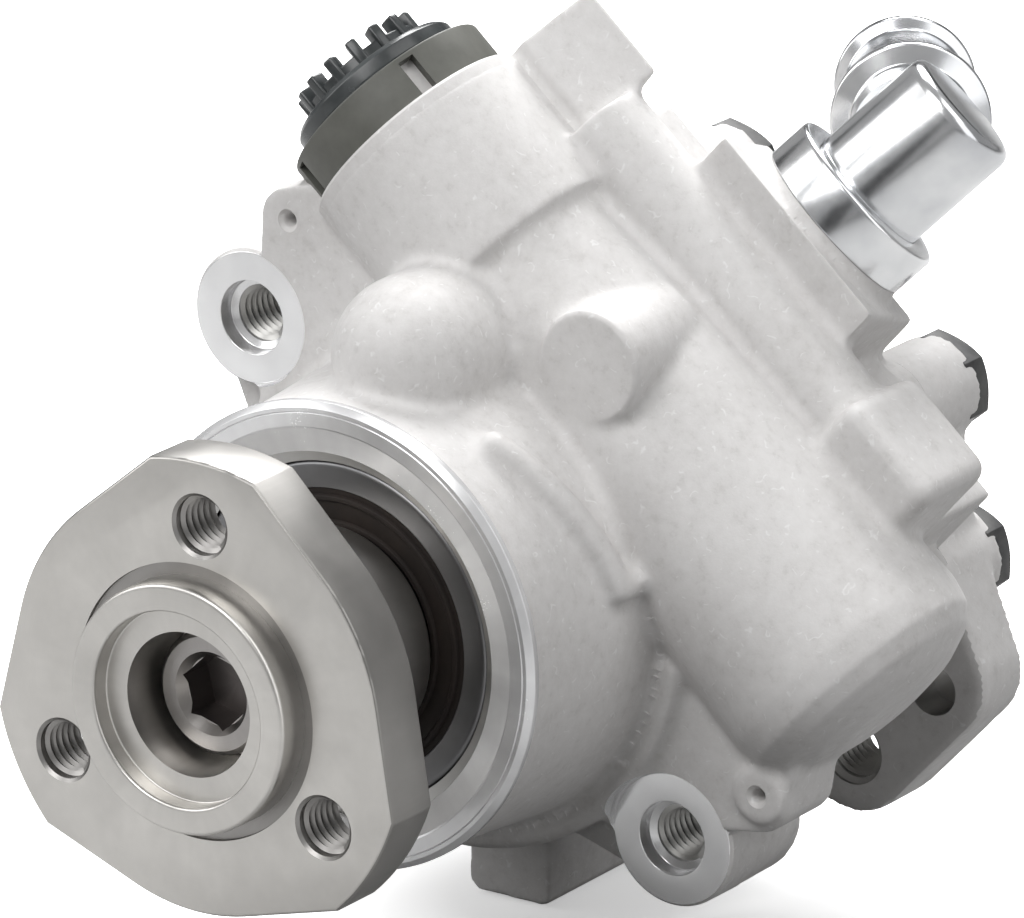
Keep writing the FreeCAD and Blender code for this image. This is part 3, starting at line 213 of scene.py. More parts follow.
world = bpy.data.worlds.new("Room")
studio.world = world
world.use_nodes = True
wires, room = world.node_tree.links, world.node_tree.nodes
room_rays, room_seen = room.new("ShaderNodeLightPath"), room.new("ShaderNodeMath")
in_metal, level = room.new("ShaderNodeMath"), room.new("ShaderNodeMix")
room_seen.operation, in_metal.operation, level.data_type = "MAXIMUM", "MULTIPLY_ADD", "FLOAT"
wires.new(room_rays.outputs["Is Camera Ray"], room_seen.inputs[0])
wires.new(room_rays.outputs["Is Transmission Ray"], room_seen.inputs[1])
wires.new(room_rays.outputs["Is Glossy Ray"], in_metal.inputs[0])
in_metal.inputs[1].default_value = ROOM_IN_METAL
wires.new(room_seen.outputs[0], in_metal.inputs[2])
wires.new(in_metal.outputs[0], level.inputs[0])
level.inputs[2].default_value, level.inputs[3].default_value = ROOM_FILL, 1.0
wires.new(level.outputs[0], room["Background"].inputs["Strength"])
room["Background"].inputs["Color"].default_value = grey(1)

for name, where, power in (
        ("LampBack", (-0.35, 0.80, 1.00), 25.0),
        ("LampFront", (-0.05, -0.85, 1.00), 9.5),
        ("LampLeft", (-0.95, -0.55, 0.62), 6.0),
        ("LampRight", (0.80, 0.10, 1.00), 4.6),
        ("LampEnd", (1.20, -0.10, 0.35), 3.0)):
    cloth = bpy.data.lights.new(name, "AREA")
    cloth.shape, cloth.size, cloth.energy = "SQUARE", LAMP_SIDE, power
    lamp = bpy.data.objects.new(name, cloth)
    lamp.location = where
    lamp.rotation_euler = (LAMP_AIM - Vector(where)).to_track_quat("-Z", "Y").to_euler()
    studio.collection.objects.link(lamp)

card_black = Finish("BlackCard").set(Base_Color=(0.012, 0.012, 0.013, 1), Roughness=0.9)
for name, where, size in (
        ("CardFront", (0.34, -1.10, 0.16), (0.34, 0.42)),
        ("CardBack", (-0.35, 1.1, 0.45), (1.2, 0.5)),
        ("CardLeft", (-1.15, 0.35, 0.25), (0.35, 0.7))):
    facing = (CARD_AIM - Vector(where)).to_track_quat("Z", "Y").to_matrix()
    card = sheet(name, [Vector(where) + facing @ Vector((u * size[0] / 2, v * size[1] / 2, 0))
                        for u, v in ((-1, -1), (1, -1), (1, 1), (-1, 1))], card_black)
    card.visible_camera = card.visible_shadow = card.visible_diffuse = False

# Drive flange: a steel forging, ground on its face and turned on its spigot and neck, with three tapped holes
# for the pulley and a pressed seat for the shaft. Sizes are in millimetres in the pump's own axes, with the
# shaft along Y and the valve bore along X, and every piece is rolled about the shaft when it is set in place.
ROLL = math.radians(41.5)
SET_IN_PLACE = Matrix((
    (0.001 * math.cos(ROLL), 0, 0.001 * math.sin(ROLL), 0),
    (0, 0.001, 0, 0),
    (-0.001 * math.sin(ROLL), 0, 0.001 * math.cos(ROLL), 0),
    (0, 0, 0, 1)))
CORNER_STEPS, ARC_STEPS = 5, 24
LOBE, SIDE, LOBE_TURN, HALF_LOBE, FLANGE_THICK, HOLE_RING = 32.66, 29.0, 128.8, 42, 8.8, 24.0
BEARING_FRONT, BEARING_BACK = 32.05, 46.05


def rounded(rows):
    """A profile of (radius, place, corner radius) rows with each corner drawn as a small arc."""
    points = []
    for index, row in enumerate(rows):
        here = Vector(row[:2])
        reach = row[2] if len(row) > 2 else 0
        before = Vector(rows[index - 1][:2]) - here
        after = Vector(rows[(index + 1) % len(rows)][:2]) - here
        if not reach or before.length < 1e-6 or after.length < 1e-6:
            points.append(here)
            continue
        half = before.angle(after) / 2
        back_off = min(reach / math.tan(half), 0.49 * before.length, 0.49 * after.length)
        start, stop = here + before.normalized() * back_off, here + after.normalized() * back_off
        for step in range(CORNER_STEPS + 1):
            share = step / CORNER_STEPS
            first = start.lerp(here, share)
            second = here.lerp(stop, share)
            points.append(first.lerp(second, share))
    return points


def lathe(rows, turn=None, steps=128, into=None):
    """A closed profile turned about the shaft's axis, or moved to another axis by a matrix."""
    shape = into or bmesh.new()
    rings = []
    for point in rounded(rows):
        ring = []
        for step in range(steps):
            if point.x < 1e-6:
                if not ring:
                    ring.append(shape.verts.new((0, point.y, 0)))
                continue
            angle = 2 * math.pi * step / steps
            ring.append(shape.verts.new((point.x * math.cos(angle), point.y, point.x * math.sin(angle))))
        rings.append(ring)
    fresh = [vertex for ring in rings for vertex in ring]
    for index, ring in enumerate(rings):
        following = rings[(index + 1) % len(rings)]
        if len(ring) == 1 and len(following) == 1:
            continue
        for step in range(steps):
            onward = (step + 1) % steps
            corners = [ring[step % len(ring)], ring[onward % len(ring)],
                       following[onward % len(following)], following[step % len(following)]]
            corners = list(dict.fromkeys(corners))
            if len(corners) > 2:
                shape.faces.new(corners)
    if turn is not None:
        bmesh.ops.transform(shape, matrix=turn, verts=fresh)
    return shape


def prism(outline, front, back, into=None):
    """An outline of (x, z) points drawn out along the shaft's axis."""
    shape = into or bmesh.new()
    near = [shape.verts.new((x, front, z)) for x, z in outline]
    far = [shape.verts.new((x, back, z)) for x, z in outline]
    shape.faces.new(near)
    shape.faces.new(far[::-1])
    for index in range(len(outline)):
        onward = (index + 1) % len(outline)
        shape.faces.new((near[onward], near[index], far[index], far[onward]))
    return shape


def workpiece(name, shape, *finishes):
    """Turns a shape into an object, still in the pump's own axes and millimetres."""
    bmesh.ops.recalc_face_normals(shape, faces=shape.faces)
    mesh = bpy.data.meshes.new(name)
    shape.to_mesh(mesh)
    shape.free()
    piece = bpy.data.objects.new(name, mesh)
    studio.collection.objects.link(piece)
    for finish in finishes:
        mesh.materials.append(finish)
    return piece


def scrap(piece):
    mesh = piece.data
    bpy.data.objects.remove(piece)
    bpy.data.meshes.remove(mesh)


def worked(piece, steps):
    """Adds modifiers in order, keeps the result as a plain mesh and takes the modifiers off."""
    for kind, settings in steps:
        modifier = piece.modifiers.new(kind.title(), kind)
        for word, value in settings.items():
            setattr(modifier, word, value)
    reading = bpy.context.evaluated_depsgraph_get()
    reading.update()
    mesh = bpy.data.meshes.new_from_object(piece.evaluated_get(reading), depsgraph=reading)
    piece.modifiers.clear()
    old, piece.data = piece.data, mesh
    mesh.name = piece.name
    bpy.data.meshes.remove(old)
    return piece


def cut(piece, cutters):
    """Machines each cutter's shape away, leaving the cutter's finish on the fresh faces."""
    for cutter in cutters:
        worked(piece, [("BOOLEAN", {"object": cutter, "operation": "DIFFERENCE", "solver": "EXACT",
                                    "material_mode": "TRANSFER"})])
        scrap(cutter)
    return piece


def joined(first, *others):
    """Puts several meshes into the first piece, finishes kept."""
    for other in others:
        slots = []
        for finish in other.data.materials:
            if finish.name not in [kept.name for kept in first.data.materials]:
                first.data.materials.append(finish)
            slots.append([kept.name for kept in first.data.materials].index(finish.name))
        shape = bmesh.new()
        shape.from_mesh(first.data)
        count = len(shape.faces)
        shape.from_mesh(other.data)
        shape.faces.ensure_lookup_table()
        for face in shape.faces[count:]:
            face.material_index = slots[min(face.material_index, len(slots) - 1)]
        shape.to_mesh(first.data)
        shape.free()
        scrap(other)
    return first


def set_down(piece, body, slot, *stands_for, sharp=30):
    """Rolls a finished piece into the row's frame, in metres, and fixes it to its body."""
    piece.data.transform(SET_IN_PLACE)
    piece.data.shade_smooth()
    piece.data.set_sharp_from_angle(angle=math.radians(sharp))
    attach(piece, body)
    if stands_for:
        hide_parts(*stands_for)
    return piece


def around(radius, degrees):
    return radius * math.cos(math.radians(degrees)), radius * math.sin(math.radians(degrees))


def turned(outline, degrees):
    """An outline of (x, z) points turned about the shaft."""
    cosine, sine = math.cos(math.radians(degrees)), math.sin(math.radians(degrees))
    return [(x * cosine - z * sine, x * sine + z * cosine) for x, z in outline]


def turned_metal(name, colour, rough, ring_depth=0.12, streak=0.05, painted_reflection_share=0.25, metal=1.0):
    """Metal turned or ground about the shaft: fine rings that follow the radius, broad light and dark sectors
    painted into its colour as a painted reflection of a turned face, and faint cloudy wear."""
    finish = Finish(name)
    at = finish.place()
    radius = (at.part(0) ** 2 + at.part(2) ** 2) ** 0.5
    rings = finish.add("ShaderNodeTexNoise", {"noise_dimensions": "1D"}, W=radius * 5200.0, Scale=1.0,
                       Detail=3.0)
    way = finish.add("ShaderNodeCombineXYZ", None, X=at.part(0) / radius, Z=at.part(2) / radius)
    # Painted reflection: broad sectors round the axis darken the colour, like the light and dark that a
    # turned face reflects.
    painted_reflection_sectors = finish.ramp(finish.noise(2.6, 3.0, 0.6, at=way), (0.36, 0.0), (0.62, 1.0))
    cloud = finish.noise(95.0, 4.0, 0.6)
    grain = finish.noise(3600.0, 2.0, 0.6)

    def darker(share):
        return tuple(channel * share for channel in colour)

    tone = finish.clouded(cloud, darker(0.84), colour, high=0.68)
    tone = finish.blend(finish.ramp(rings, (0.40, 0.0), (0.62, 1.0)) * 0.22, tone, (*darker(0.9), 1))
    tone = finish.blend(painted_reflection_sectors * painted_reflection_share, tone, (*darker(0.62), 1))
    ripple = finish.bump(rings, ring_depth, 0.00002)
    return finish.set(
        Base_Color=tone, Metallic=metal, Roughness=rough + cloud * streak * 2 - streak + grain * 0.04,
        Normal=finish.bump(grain, 0.03, 0.00002, ripple))


hub_steel = turned_metal("GroundSteel", (0.60, 0.585, 0.56), 0.34)
rim_steel = turned_metal("RimSteel", (0.28, 0.273, 0.262), 0.40, 0.2, 0.12)
neck_steel = turned_metal("TurnedSteel", (0.34, 0.33, 0.32), 0.36, 0.25)
flange_outline = []
lean = math.degrees(math.acos(SIDE / LOBE))
for step in range(3):
    middle = LOBE_TURN + 120 * step
    for share in range(ARC_STEPS + 1):
        flange_outline.append(
            around(LOBE, middle - HALF_LOBE + lean + (2 * HALF_LOBE - 2 * lean) * share / ARC_STEPS))
    for share in range(ARC_STEPS + 1):
        flange_outline.append(around(SIDE, middle + HALF_LOBE + (120 - 2 * HALF_LOBE) * share / ARC_STEPS))
plate = workpiece("FlangePlate", prism(flange_outline, 0, FLANGE_THICK), hub_steel, rim_steel)
for face in plate.data.polygons:
    face.material_index = 1 if abs(face.normal.y) < 0.5 else 0
worked(plate, [("BEVEL", {"width": 0.45, "segments": 3, "limit_method": "ANGLE",
                          "angle_limit": math.radians(50)})])
holes = lathe([(0, -1), (18.67, -1), (18.67, 0.7, 0.15), (16, 0.7), (16, 12), (0, 12)])
hole_places = [around(HOLE_RING, LOBE_TURN + 120 * step) for step in range(3)]
for x, z in hole_places:
    lathe([(0, -1), (5.1, -1), (4.42, 0.0), (4.0, 0.42), (4.0, 12), (0, 12)],
          Matrix.Translation((x, 0, z)), 48, into=holes)
cut(plate, [workpiece("FlangeHoles", holes, neck_steel)])
hub = workpiece("FlangeHub", lathe([
    (9.76, -1.33), (13.16, -1.33, 0.25), (13.16, -4.08, 0.55), (16.87, -4.08, 0.7), (16.87, 0.7), (16.0, 0.7),
    (16.0, 8.0), (15.5, FLANGE_THICK, 0.6), (15.5, 31.0, 0.6), (13.9, 31.0), (13.9, BEARING_FRONT),
    (8.6, BEARING_FRONT), (8.6, 9.0), (9.76, 9.0, 0.3)]), hub_steel)
flange = joined(plate, hub)
flange.name = "drive_flange_ground"
set_down(flange, "drive", "hub_steel", "drive_flange")

# Threads: M8 in the flange and in the ears of both castings, cut full depth, with bright crests in dark
# grooves. A node tree winds one ridge and stands a copy of it in each hole.
THREAD_RADIUS, THREAD_PITCH, THREAD_RIDGE = 4.05, 1.25, 0.62
thread_steel = turned_metal("ThreadSteel", (0.34, 0.33, 0.32), 0.34, 0.0)
thread_alloy = turned_metal("ThreadAlloy", (0.42, 0.415, 0.40), 0.32, 0.0)


def copying_tree(name, **inputs):
    """A node tree that copies something onto points, with its inputs, and its first and last node."""
    tree = bpy.data.node_groups.new(name, "GeometryNodeTree")
    for word, kind in inputs.items():
        tree.interface.new_socket(word, in_out="INPUT", socket_type="NodeSocket" + kind)
    tree.interface.new_socket("Copies", in_out="OUTPUT", socket_type="NodeSocketGeometry")
    return tree, tree.nodes.new("NodeGroupInput"), tree.nodes.new("NodeGroupOutput")


def wired(tree, *rows):
    for start, word, stop, entry in rows:
        tree.links.new(start.outputs[word], stop.inputs[entry])
    return tree


def thread_tree():
    """A ridge wound along a spiral once for each hole, standing inwards from the hole's wall."""
    tree, source, sink = copying_tree("CutThread", Holes="Geometry", Radius="Float", Pitch="Float",
                                      Length="Float", Ridge="Float", Finish="Material")
    made = tree.nodes.new
    turns, spiral = made("ShaderNodeMath"), made("GeometryNodeCurveSpiral")
    turns.operation = "DIVIDE"
    spiral.inputs["Resolution"].default_value = 30
    upright, section = made("GeometryNodeSetCurveNormal"), made("GeometryNodeCurvePrimitiveCircle")
    upright.mode, section.mode = "Z_UP", "RADIUS"
    section.inputs["Resolution"].default_value = 3
    ridge, stand = made("GeometryNodeCurveToMesh"), made("GeometryNodeInstanceOnPoints")
    stand.inputs["Rotation"].default_value = (math.radians(-90), 0, 0)
    real, paint = made("GeometryNodeRealizeInstances"), made("GeometryNodeSetMaterial")
    return wired(
        tree, (source, "Length", turns, 0), (source, "Pitch", turns, 1), (turns, 0, spiral, "Rotations"),
        (source, "Radius", spiral, "Start Radius"), (source, "Radius", spiral, "End Radius"),
        (source, "Length", spiral, "Height"), (spiral, 0, upright, "Curve"),
        (source, "Ridge", section, "Radius"), (upright, 0, ridge, "Curve"),
        (section, 0, ridge, "Profile Curve"), (source, "Holes", stand, "Points"),
        (ridge, 0, stand, "Instance"), (stand, 0, real, 0),
        (real, 0, paint, "Geometry"), (source, "Finish", paint, "Material"), (paint, 0, sink, 0))


def copied(name, places, tree, **values):
    """A piece that a node tree makes on a set of points, kept as a plain mesh."""
    mesh = bpy.data.meshes.new(name)
    mesh.from_pydata(places, [], [])
    piece = bpy.data.objects.new(name, mesh)
    studio.collection.objects.link(piece)
    modifier = piece.modifiers.new("Copies", "NODES")
    modifier.node_group = tree
    inputs = {item.name: item.identifier for item in tree.interface.items_tree if item.in_out == "INPUT"}
    for word, value in values.items():
        modifier[inputs[word]] = value
    return worked(piece, [])


cut_thread = thread_tree()


def thread_holes(name, mouths, length, finish):
    """Threads for a set of like holes, each given by its mouth and running back along the shaft."""
    return copied(name, mouths, cut_thread, Radius=THREAD_RADIUS, Pitch=THREAD_PITCH, Length=length,
                  Ridge=THREAD_RIDGE, Finish=finish)


flange_threads = thread_holes("drive_flange_threads", [(x, 0.9, z) for x, z in hole_places], 7.4,
                              thread_steel)
set_down(flange_threads, "drive", "hub_steel", sharp=50)

# Shaft: hardened and ground, pressed into the flange, with a hexagon socket and a coned lead-in in its front
# end, and twelve splines for the rotor. The socket's walls are painted near black, a painted shade in the
# recess.
shaft_steel = turned_metal("ShaftSteel", (0.36, 0.345, 0.335), 0.30, 0.3)
# Painted shade: the same steel, painted much darker on the walls of the hexagon socket.
socket_steel_painted_shade = turned_metal("SocketSteel", (0.17, 0.155, 0.15), 0.42, 0.1)
shaft = workpiece("drive_shaft_ground", lathe([
    (0, 3.6), (7.7, 3.6, 0.15), (8.5, 4.5, 0.15), (8.5, BEARING_FRONT), (10, BEARING_FRONT, 0.3),
    (10, BEARING_BACK), (9, BEARING_BACK), (9, 78.6), (7.2, 78.6), (7.2, 103.4), (6.5, 103.4), (6.5, 112.2),
    (5.7, 113), (0, 113)]), shaft_steel)
hexagon = [around(5.2, 60 * step + 25.4) for step in range(6)]
cut(shaft, [
    workpiece("LeadIn", lathe([(0, 2.6), (6.4, 2.6), (4.7, 5.0), (0, 5.0)]), shaft_steel),
    workpiece("Hexagon", prism(hexagon, 2.0, 9.6), socket_steel_painted_shade)])
splines = bmesh.new()
for step in range(12):
    prism(turned([(0, -1.0), (8.1, -1.0), (8.1, 1.0), (0, 1.0)], 30 * step), 83.0, 100.0, into=splines)
joined(shaft, workpiece("Splines", splines, shaft_steel))
set_down(shaft, "drive", "shaft_steel", "drive_shaft")

# Bearing: a sealed deep-groove ball bearing. Its steel rings are ground, and their colour is painted dark
# grey, a painted shade for the shade of the flange, and the front seal is dark brown rubber over a steel
# washer, with a thin bead near its rim.
# Painted shade: the bearing steel's colour is painted dark grey for the shade it sits in.
bearing_steel = turned_metal("BearingSteel", (0.20, 0.20, 0.205), 0.30, 0.1)
cage_steel = turned_metal("CageSteel", (0.44, 0.43, 0.41), 0.4)
rubber = Finish("SealRubber")
pores = rubber.noise(1500.0, 3.0, 0.6)
seal_rubber = rubber.set(
    Base_Color=rubber.clouded(rubber.noise(140.0, 4.0, 0.6), (0.010, 0.007, 0.006), (0.020, 0.014, 0.011),
                              0.4, 0.75),
    Specular_IOR_Level=0.3, Roughness=0.60 + pores * 0.14, Normal=rubber.bump(pores, 0.25, 0.00005))
outer_ring = workpiece("bearing_outer_ring_ground", lathe([
    (19.8, BEARING_FRONT, 0.25), (23.5, BEARING_FRONT, 0.9), (23.5, BEARING_BACK, 0.9),
    (19.8, BEARING_BACK, 0.25)]), bearing_steel)
set_down(outer_ring, "housing", "bearing_steel", "bearing_outer_ring")
front_seal = workpiece("bearing_front_seal_rubber", lathe([
    (14.45, 32.35), (14.75, 32.0, 0.15), (15.3, 32.1, 0.15), (15.5, 32.5), (17.9, 32.35), (18.15, 31.95, 0.2),
    (18.75, 31.95, 0.2), (18.95, 32.4), (19.8, 32.3), (19.8, 33.25), (14.45, 33.25)]), seal_rubber)
set_down(front_seal, "housing", "seal_rubber", "bearing_front_seal")


def carried_over(finish, *names):
    """Gives its finish to each solid that is shown as it is."""
    for name in names:
        nodes[name].data.materials.clear()
        nodes[name].data.materials.append(finish)


carried_over(bearing_steel, "bearing_inner_ring", "bearing_balls")
carried_over(cage_steel, "bearing_cage")
carried_over(seal_rubber, "bearing_rear_seal", "shaft_seal")

# Housing: one pressure die casting in aluminium. Its skin is fine grained and matt with short bright flecks,
# every inside corner is filleted, and the nose, the ear faces, the bores and the rear joint are machined. The
# bores and the joint faces are painted darker than the nose, a painted shade.
casting = Finish("CastAluminium")
skin = casting.noise(3400.0, 3.0, 0.65)
mottle = casting.noise(520.0, 5.0, 0.68)
streaks = casting.ramp(casting.noise(420.0, 1.0, 0.5), (0.470, 0.0), (0.5, 1.0), (0.530, 0.0))
fleck = streaks * casting.ramp(casting.noise(760.0, 1.0, 0.5), (0.60, 0.0), (0.66, 1.0))
cast_tone = casting.clouded(casting.noise(60.0, 4.0, 0.6), (0.62, 0.605, 0.595), (0.70, 0.688, 0.68),
                            low=0.3)
for amount, colour in (
        (casting.ramp(mottle, (0.38, 0.0), (0.66, 1.0)) * 0.45, (0.78, 0.77, 0.765, 1)),
        (casting.ramp(mottle, (0.30, 1.0), (0.42, 0.0)) * 0.35, (0.52, 0.505, 0.49, 1)),
        (fleck * 0.55, grey(0.88))):
    cast_tone = casting.blend(amount, cast_tone, colour)
cast_alloy = casting.set(
    Base_Color=cast_tone, Metallic=0.10, Roughness=0.60 - fleck * 0.14 + skin * 0.06,
    Normal=casting.bump(skin, 0.30, 0.00006, casting.bump(mottle, 0.30, 0.00014)))
# The machined nose and the ear faces take the strongest painted reflection sectors.
machined_alloy = turned_metal("MachinedAluminium", (0.90, 0.90, 0.91), 0.24, 0.12, 0.03, 0.6, 0.55)
ear_alloy = turned_metal("FacedAluminium", (0.84, 0.84, 0.845), 0.22, 0.12, 0.03, 0.3, 0.85)
# Painted shade: the bores, the inlet seat and the joint faces are painted darker than the machined nose.
bore_alloy_painted_shade = turned_metal("BoredAluminium", (0.50, 0.495, 0.485), 0.30, 0.2)

BODY_RADIUS, BOLT_RING, BOLT_BOSS, JOINT, ROUGH_BACK = 37.5, 43.0, 7.3, 104.0, 107.0
EAR_REACH, LUG_REACH, LUG_RISE, WEB_FRONT, WEB_BACK = 45.5, 50.3, 15.8, 58.8, 70.6
LEFT_PIN, RIGHT_PIN = (-LUG_REACH, LUG_RISE, WEB_FRONT), (50.1, 17.0, 57.6)
TUBE_BACK, TUBE_RISE = 70.0, 33.0
PORT_FACE, PORT_RADIUS, COLLAR_FACE, COLLAR_RADIUS = -48.1, 16.6, -54.4, 13.4
FOOT_TURN, SEAT_LEAN, DOME, DOME_PLACE = -49.0, 25.0, 11.0, (-21.7, 47.2, 26.9)
RIB_BALLS, BEAD_BALLS, VOXEL, FILLET, THINNING = 32, 60, 0.5, 0.6, 0.44
ACROSS = Matrix.Rotation(math.radians(-90), 4, "Z")
UPRIGHT = Matrix.Rotation(math.radians(90), 4, "X")
ALONG_VALVE = Matrix.Translation((0, TUBE_BACK, TUBE_RISE)) @ ACROSS
LEAN_BACK = Matrix.Translation((-3.9, 95.0, 59.0)) @ Matrix.Rotation(math.radians(-SEAT_LEAN), 4, "X")
ON_SEAT = LEAN_BACK @ UPRIGHT


def wrapped(first, second, steps=28):
    """The outline of a plate that wraps two circles, each given as x, z and radius."""
    (x1, z1, r1), (x2, z2, r2) = first, second
    heading = math.atan2(z2 - z1, x2 - x1)
    lean_angle = math.acos((r1 - r2) / math.hypot(x2 - x1, z2 - z1))
    outline = []
    for step in range(steps + 1):
        angle = heading - lean_angle + 2 * lean_angle * step / steps
        outline.append((x2 + r2 * math.cos(angle), z2 + r2 * math.sin(angle)))
    for step in range(steps + 1):
        angle = heading + lean_angle + (2 * math.pi - 2 * lean_angle) * step / steps
        outline.append((x1 + r1 * math.cos(angle), z1 + r1 * math.sin(angle)))
    return outline


def slab(low, high, into=None):
    """A plain block between two corners."""
    (x1, y1, z1), (x2, y2, z2) = low, high
    return prism([(x1, z1), (x2, z1), (x2, z2), (x1, z2)], y1, y2, into=into)


def block(middle, sides, into, turn=Matrix.Identity(4)):
    """A block given by its middle and its three sides, and turned."""
    place = turn @ Matrix.Translation(middle) @ Matrix.Diagonal((*sides, 1))
    return bmesh.ops.create_cube(into, size=1.0, matrix=place)["verts"]


def ball(middle, radius, into):
    bmesh.ops.create_icosphere(into, subdivisions=2, radius=radius, matrix=Matrix.Translation(middle))


def sloped(across, near, far, low, into):
    """A block between two x places whose top slopes from a near (y, z) point to a far one."""
    corners = ((near[0], low), near, far, (far[0], low))
    sides = [[into.verts.new((x, y, z)) for y, z in corners] for x in across]
    into.faces.new(sides[0])
    into.faces.new(sides[1][::-1])
    for index in range(4):
        onward = (index + 1) % 4
        into.faces.new((sides[0][onward], sides[0][index], sides[1][index], sides[1][onward]))


def along_valve(rows, into=None, steps=96):
    """A profile of (radius, x) rows turned about the valve bore."""
    return lathe(rows, ALONG_VALVE, steps, into)


def boss(x, z, radius, front, back, into, corner=0.0):
    """A round boss along the shaft's axis."""
    return lathe([(0, front), (radius, front, corner), (radius, back), (0, back)],
                 Matrix.Translation((x, 0, z)), 48, into=into)


def rough_casting():
    """Every form of the housing as its own plain shape, each running into its neighbours."""
    rough = lathe([(0, 27.0), (31.45, 27.0), (31.5, 32.0), (31.9, 40.0), (33.1, 54.0), (33.4, 58.4),
                   (BODY_RADIUS, 58.6), (BODY_RADIUS, ROUGH_BACK), (0, ROUGH_BACK)])
    for side in (-1, 1):
        ear = (side * EAR_REACH, 0.0, 9.55)
        lug = (side * LUG_REACH, LUG_RISE, 4.5)
        prism(wrapped((side * 15.0, 2.0, 24.0), ear), 63.8, 71.0, into=rough)
        prism(wrapped((side * 30.0, 5.0, 12.0), (side * 44.5, 1.0, 7.0)), 59.2, 71.0, into=rough)
        prism(wrapped((side * 32.0, 7.0, 13.0), lug), WEB_FRONT, WEB_BACK, into=rough)
        prism(wrapped((side * 34.0, 29.0, 11.0), lug), WEB_FRONT, WEB_BACK, into=rough)
        boss(side * EAR_REACH, 0.0, 9.5, 60.0, 77.0, rough)
    boss(*RIGHT_PIN[:2], 3.9, RIGHT_PIN[2], WEB_BACK, rough, 0.5)

    # the valve's tube with its port, the gallery and its walls, the horn and the knob
    along_valve([
        (0, -46.8), (16.65, -46.8), (16.65, -26.2), (14.7, -25.5), (15.5, -18.0), (16.6, -6.0), (18.15, 43.9),
        (17.5, 47.4), (15.4, 49.8), (11.5, 51.6), (7.0, 52.5), (0, 52.5)], rough)
    along_valve([(0, -56.0), (COLLAR_RADIUS, -56.0), (COLLAR_RADIUS, -45.0), (0, -45.0)], rough)
    slab((-36.1, 60.6, 0.0), (39.9, 94.0, 39.0), rough)
    lathe([(0, -33.0), (6.6, -33.0), (6.6, 26.0), (0, 26.0)],
          Matrix.Translation((0, 80.0, 50.3)) @ ACROSS, 48, into=rough)
    slab((-33.0, 78.0, 29.0), (36.0, 100.0, 47.3), rough)
    sloped((-47.7, -33.1), (77.1, 50.9), (85.3, 59.7), 33.0, rough)
    knob = block((27.8, 79.6, 47.0), (17.0, 16.4, 24.0), rough)
    bmesh.ops.bevel(rough, geom=list({edge for vertex in knob for edge in vertex.link_edges}), offset=2.4,
                    segments=5, profile=0.5, affect="EDGES")

    # the round boss, the dome, the foot, the bosses of the cover's screws and the inlet's leaning seat
    boss(-5.0, 42.8, 7.7, 53.5, 70.0, rough, 0.5)
    quarter = [math.pi / 24 * step for step in range(1, 13)]
    x, y, z = DOME_PLACE
    lathe([(0, 36.2), *((DOME * math.sin(angle), y - DOME * math.cos(angle)) for angle in quarter),
           (DOME, 68.0), (0, 68.0)], Matrix.Translation((x, 0, z)), 48, into=rough)
    prism(turned([(20, -6.7), (48.6, -6.7), (50.0, -5.3), (50.0, 5.4), (49.2, 6.7), (20, 6.7)], FOOT_TURN),
          72.0, ROUGH_BACK, into=rough)
    for x, z in bolt_places:
        boss(x, z, BOLT_BOSS, 84.0, ROUGH_BACK, rough)
    lathe([(0, -3.0), (12.4, -3.0), (12.4, 0.5), (0, 0.5)], ON_SEAT, 64, into=rough)
    rise = math.tan(math.radians(SEAT_LEAN))
    sloped((-19.7, 11.4), (81.9, 57.0 + 13.1 * rise), (103.0, 57.0 - 8.0 * rise), 33.0, rough)

    # the low rib over the nose, and the bead where the nose meets the plate
    for step in range(RIB_BALLS + 1):
        share = step / RIB_BALLS
        x, z = around(32.2 + 0.8 * share, 97.0 - 42.0 * share)
        ball((x, 41.2 + 8.2 * share, z), 2.3, rough)
    for y in (51.2, 53.4):
        ball((19.2, y, 27.0), 2.1, rough)
    for step in range(BEAD_BALLS + 1):
        x, z = around(35.9, 32.0 - 96.0 * step / BEAD_BALLS)
        ball((x, 58.3, z), 1.7, rough)
    return rough


bolt_places = [around(BOLT_RING, 35.0 + 90 * step) for step in range(4)] + [around(BOLT_RING, 67.0)]
housing = workpiece("pump_housing_cast", rough_casting(), cast_alloy)
melt = [("REMESH", {"mode": "VOXEL", "voxel_size": VOXEL}), ("SMOOTH", {"factor": 0.4, "iterations": 1})]
worked(housing, [*melt, ("DISPLACE", {"strength": FILLET, "mid_level": 0.0})])
worked(housing, [*melt, ("DISPLACE", {"strength": -FILLET, "mid_level": 0.0}),
                 ("SMOOTH", {"factor": 0.5, "iterations": 1}), ("DECIMATE", {"ratio": THINNING})])

nose_cut = workpiece("NoseCut", lathe([(0, 20.0), (60.0, 20.0), (60.0, 31.6), (0, 31.6)]), machined_alloy)
bore_cut = workpiece("BoreCut", lathe([
    (0, 20), (25.1, 20), (25.1, BEARING_FRONT), (23.52, BEARING_FRONT), (23.52, BEARING_BACK),
    (20.5, BEARING_BACK), (20.5, 46.85), (14.5, 46.85), (14.5, 53.05), (11, 53.05), (11, 79.6), (30, 79.6),
    (30, 110), (0, 110)]), bore_alloy_painted_shade)
back_cut = workpiece("BackCut", slab((-70, JOINT, -70), (70, 115.0, 80)), bore_alloy_painted_shade)
small = bmesh.new()
for side in (-1, 1):
    lathe([(0, 50.0), (9.5, 50.0), (9.5, 59.9), (5.15, 59.9), (5.15, 60.4), (5.0, 62.0, 0.2), (4.0, 62.4),
           (4.0, 90.0), (0, 90.0)], Matrix.Translation((side * EAR_REACH, 0, 0)), 64, into=small)
along_valve([(0, -70.0), (COLLAR_RADIUS, -70.0), (COLLAR_RADIUS, COLLAR_FACE), (11.0, COLLAR_FACE),
             (11.0, -32.1), (7.5, -32.1), (7.5, 43.0), (0, 43.0)], small)
ear_cut = workpiece("EarCut", small, ear_alloy)
pins = bmesh.new()
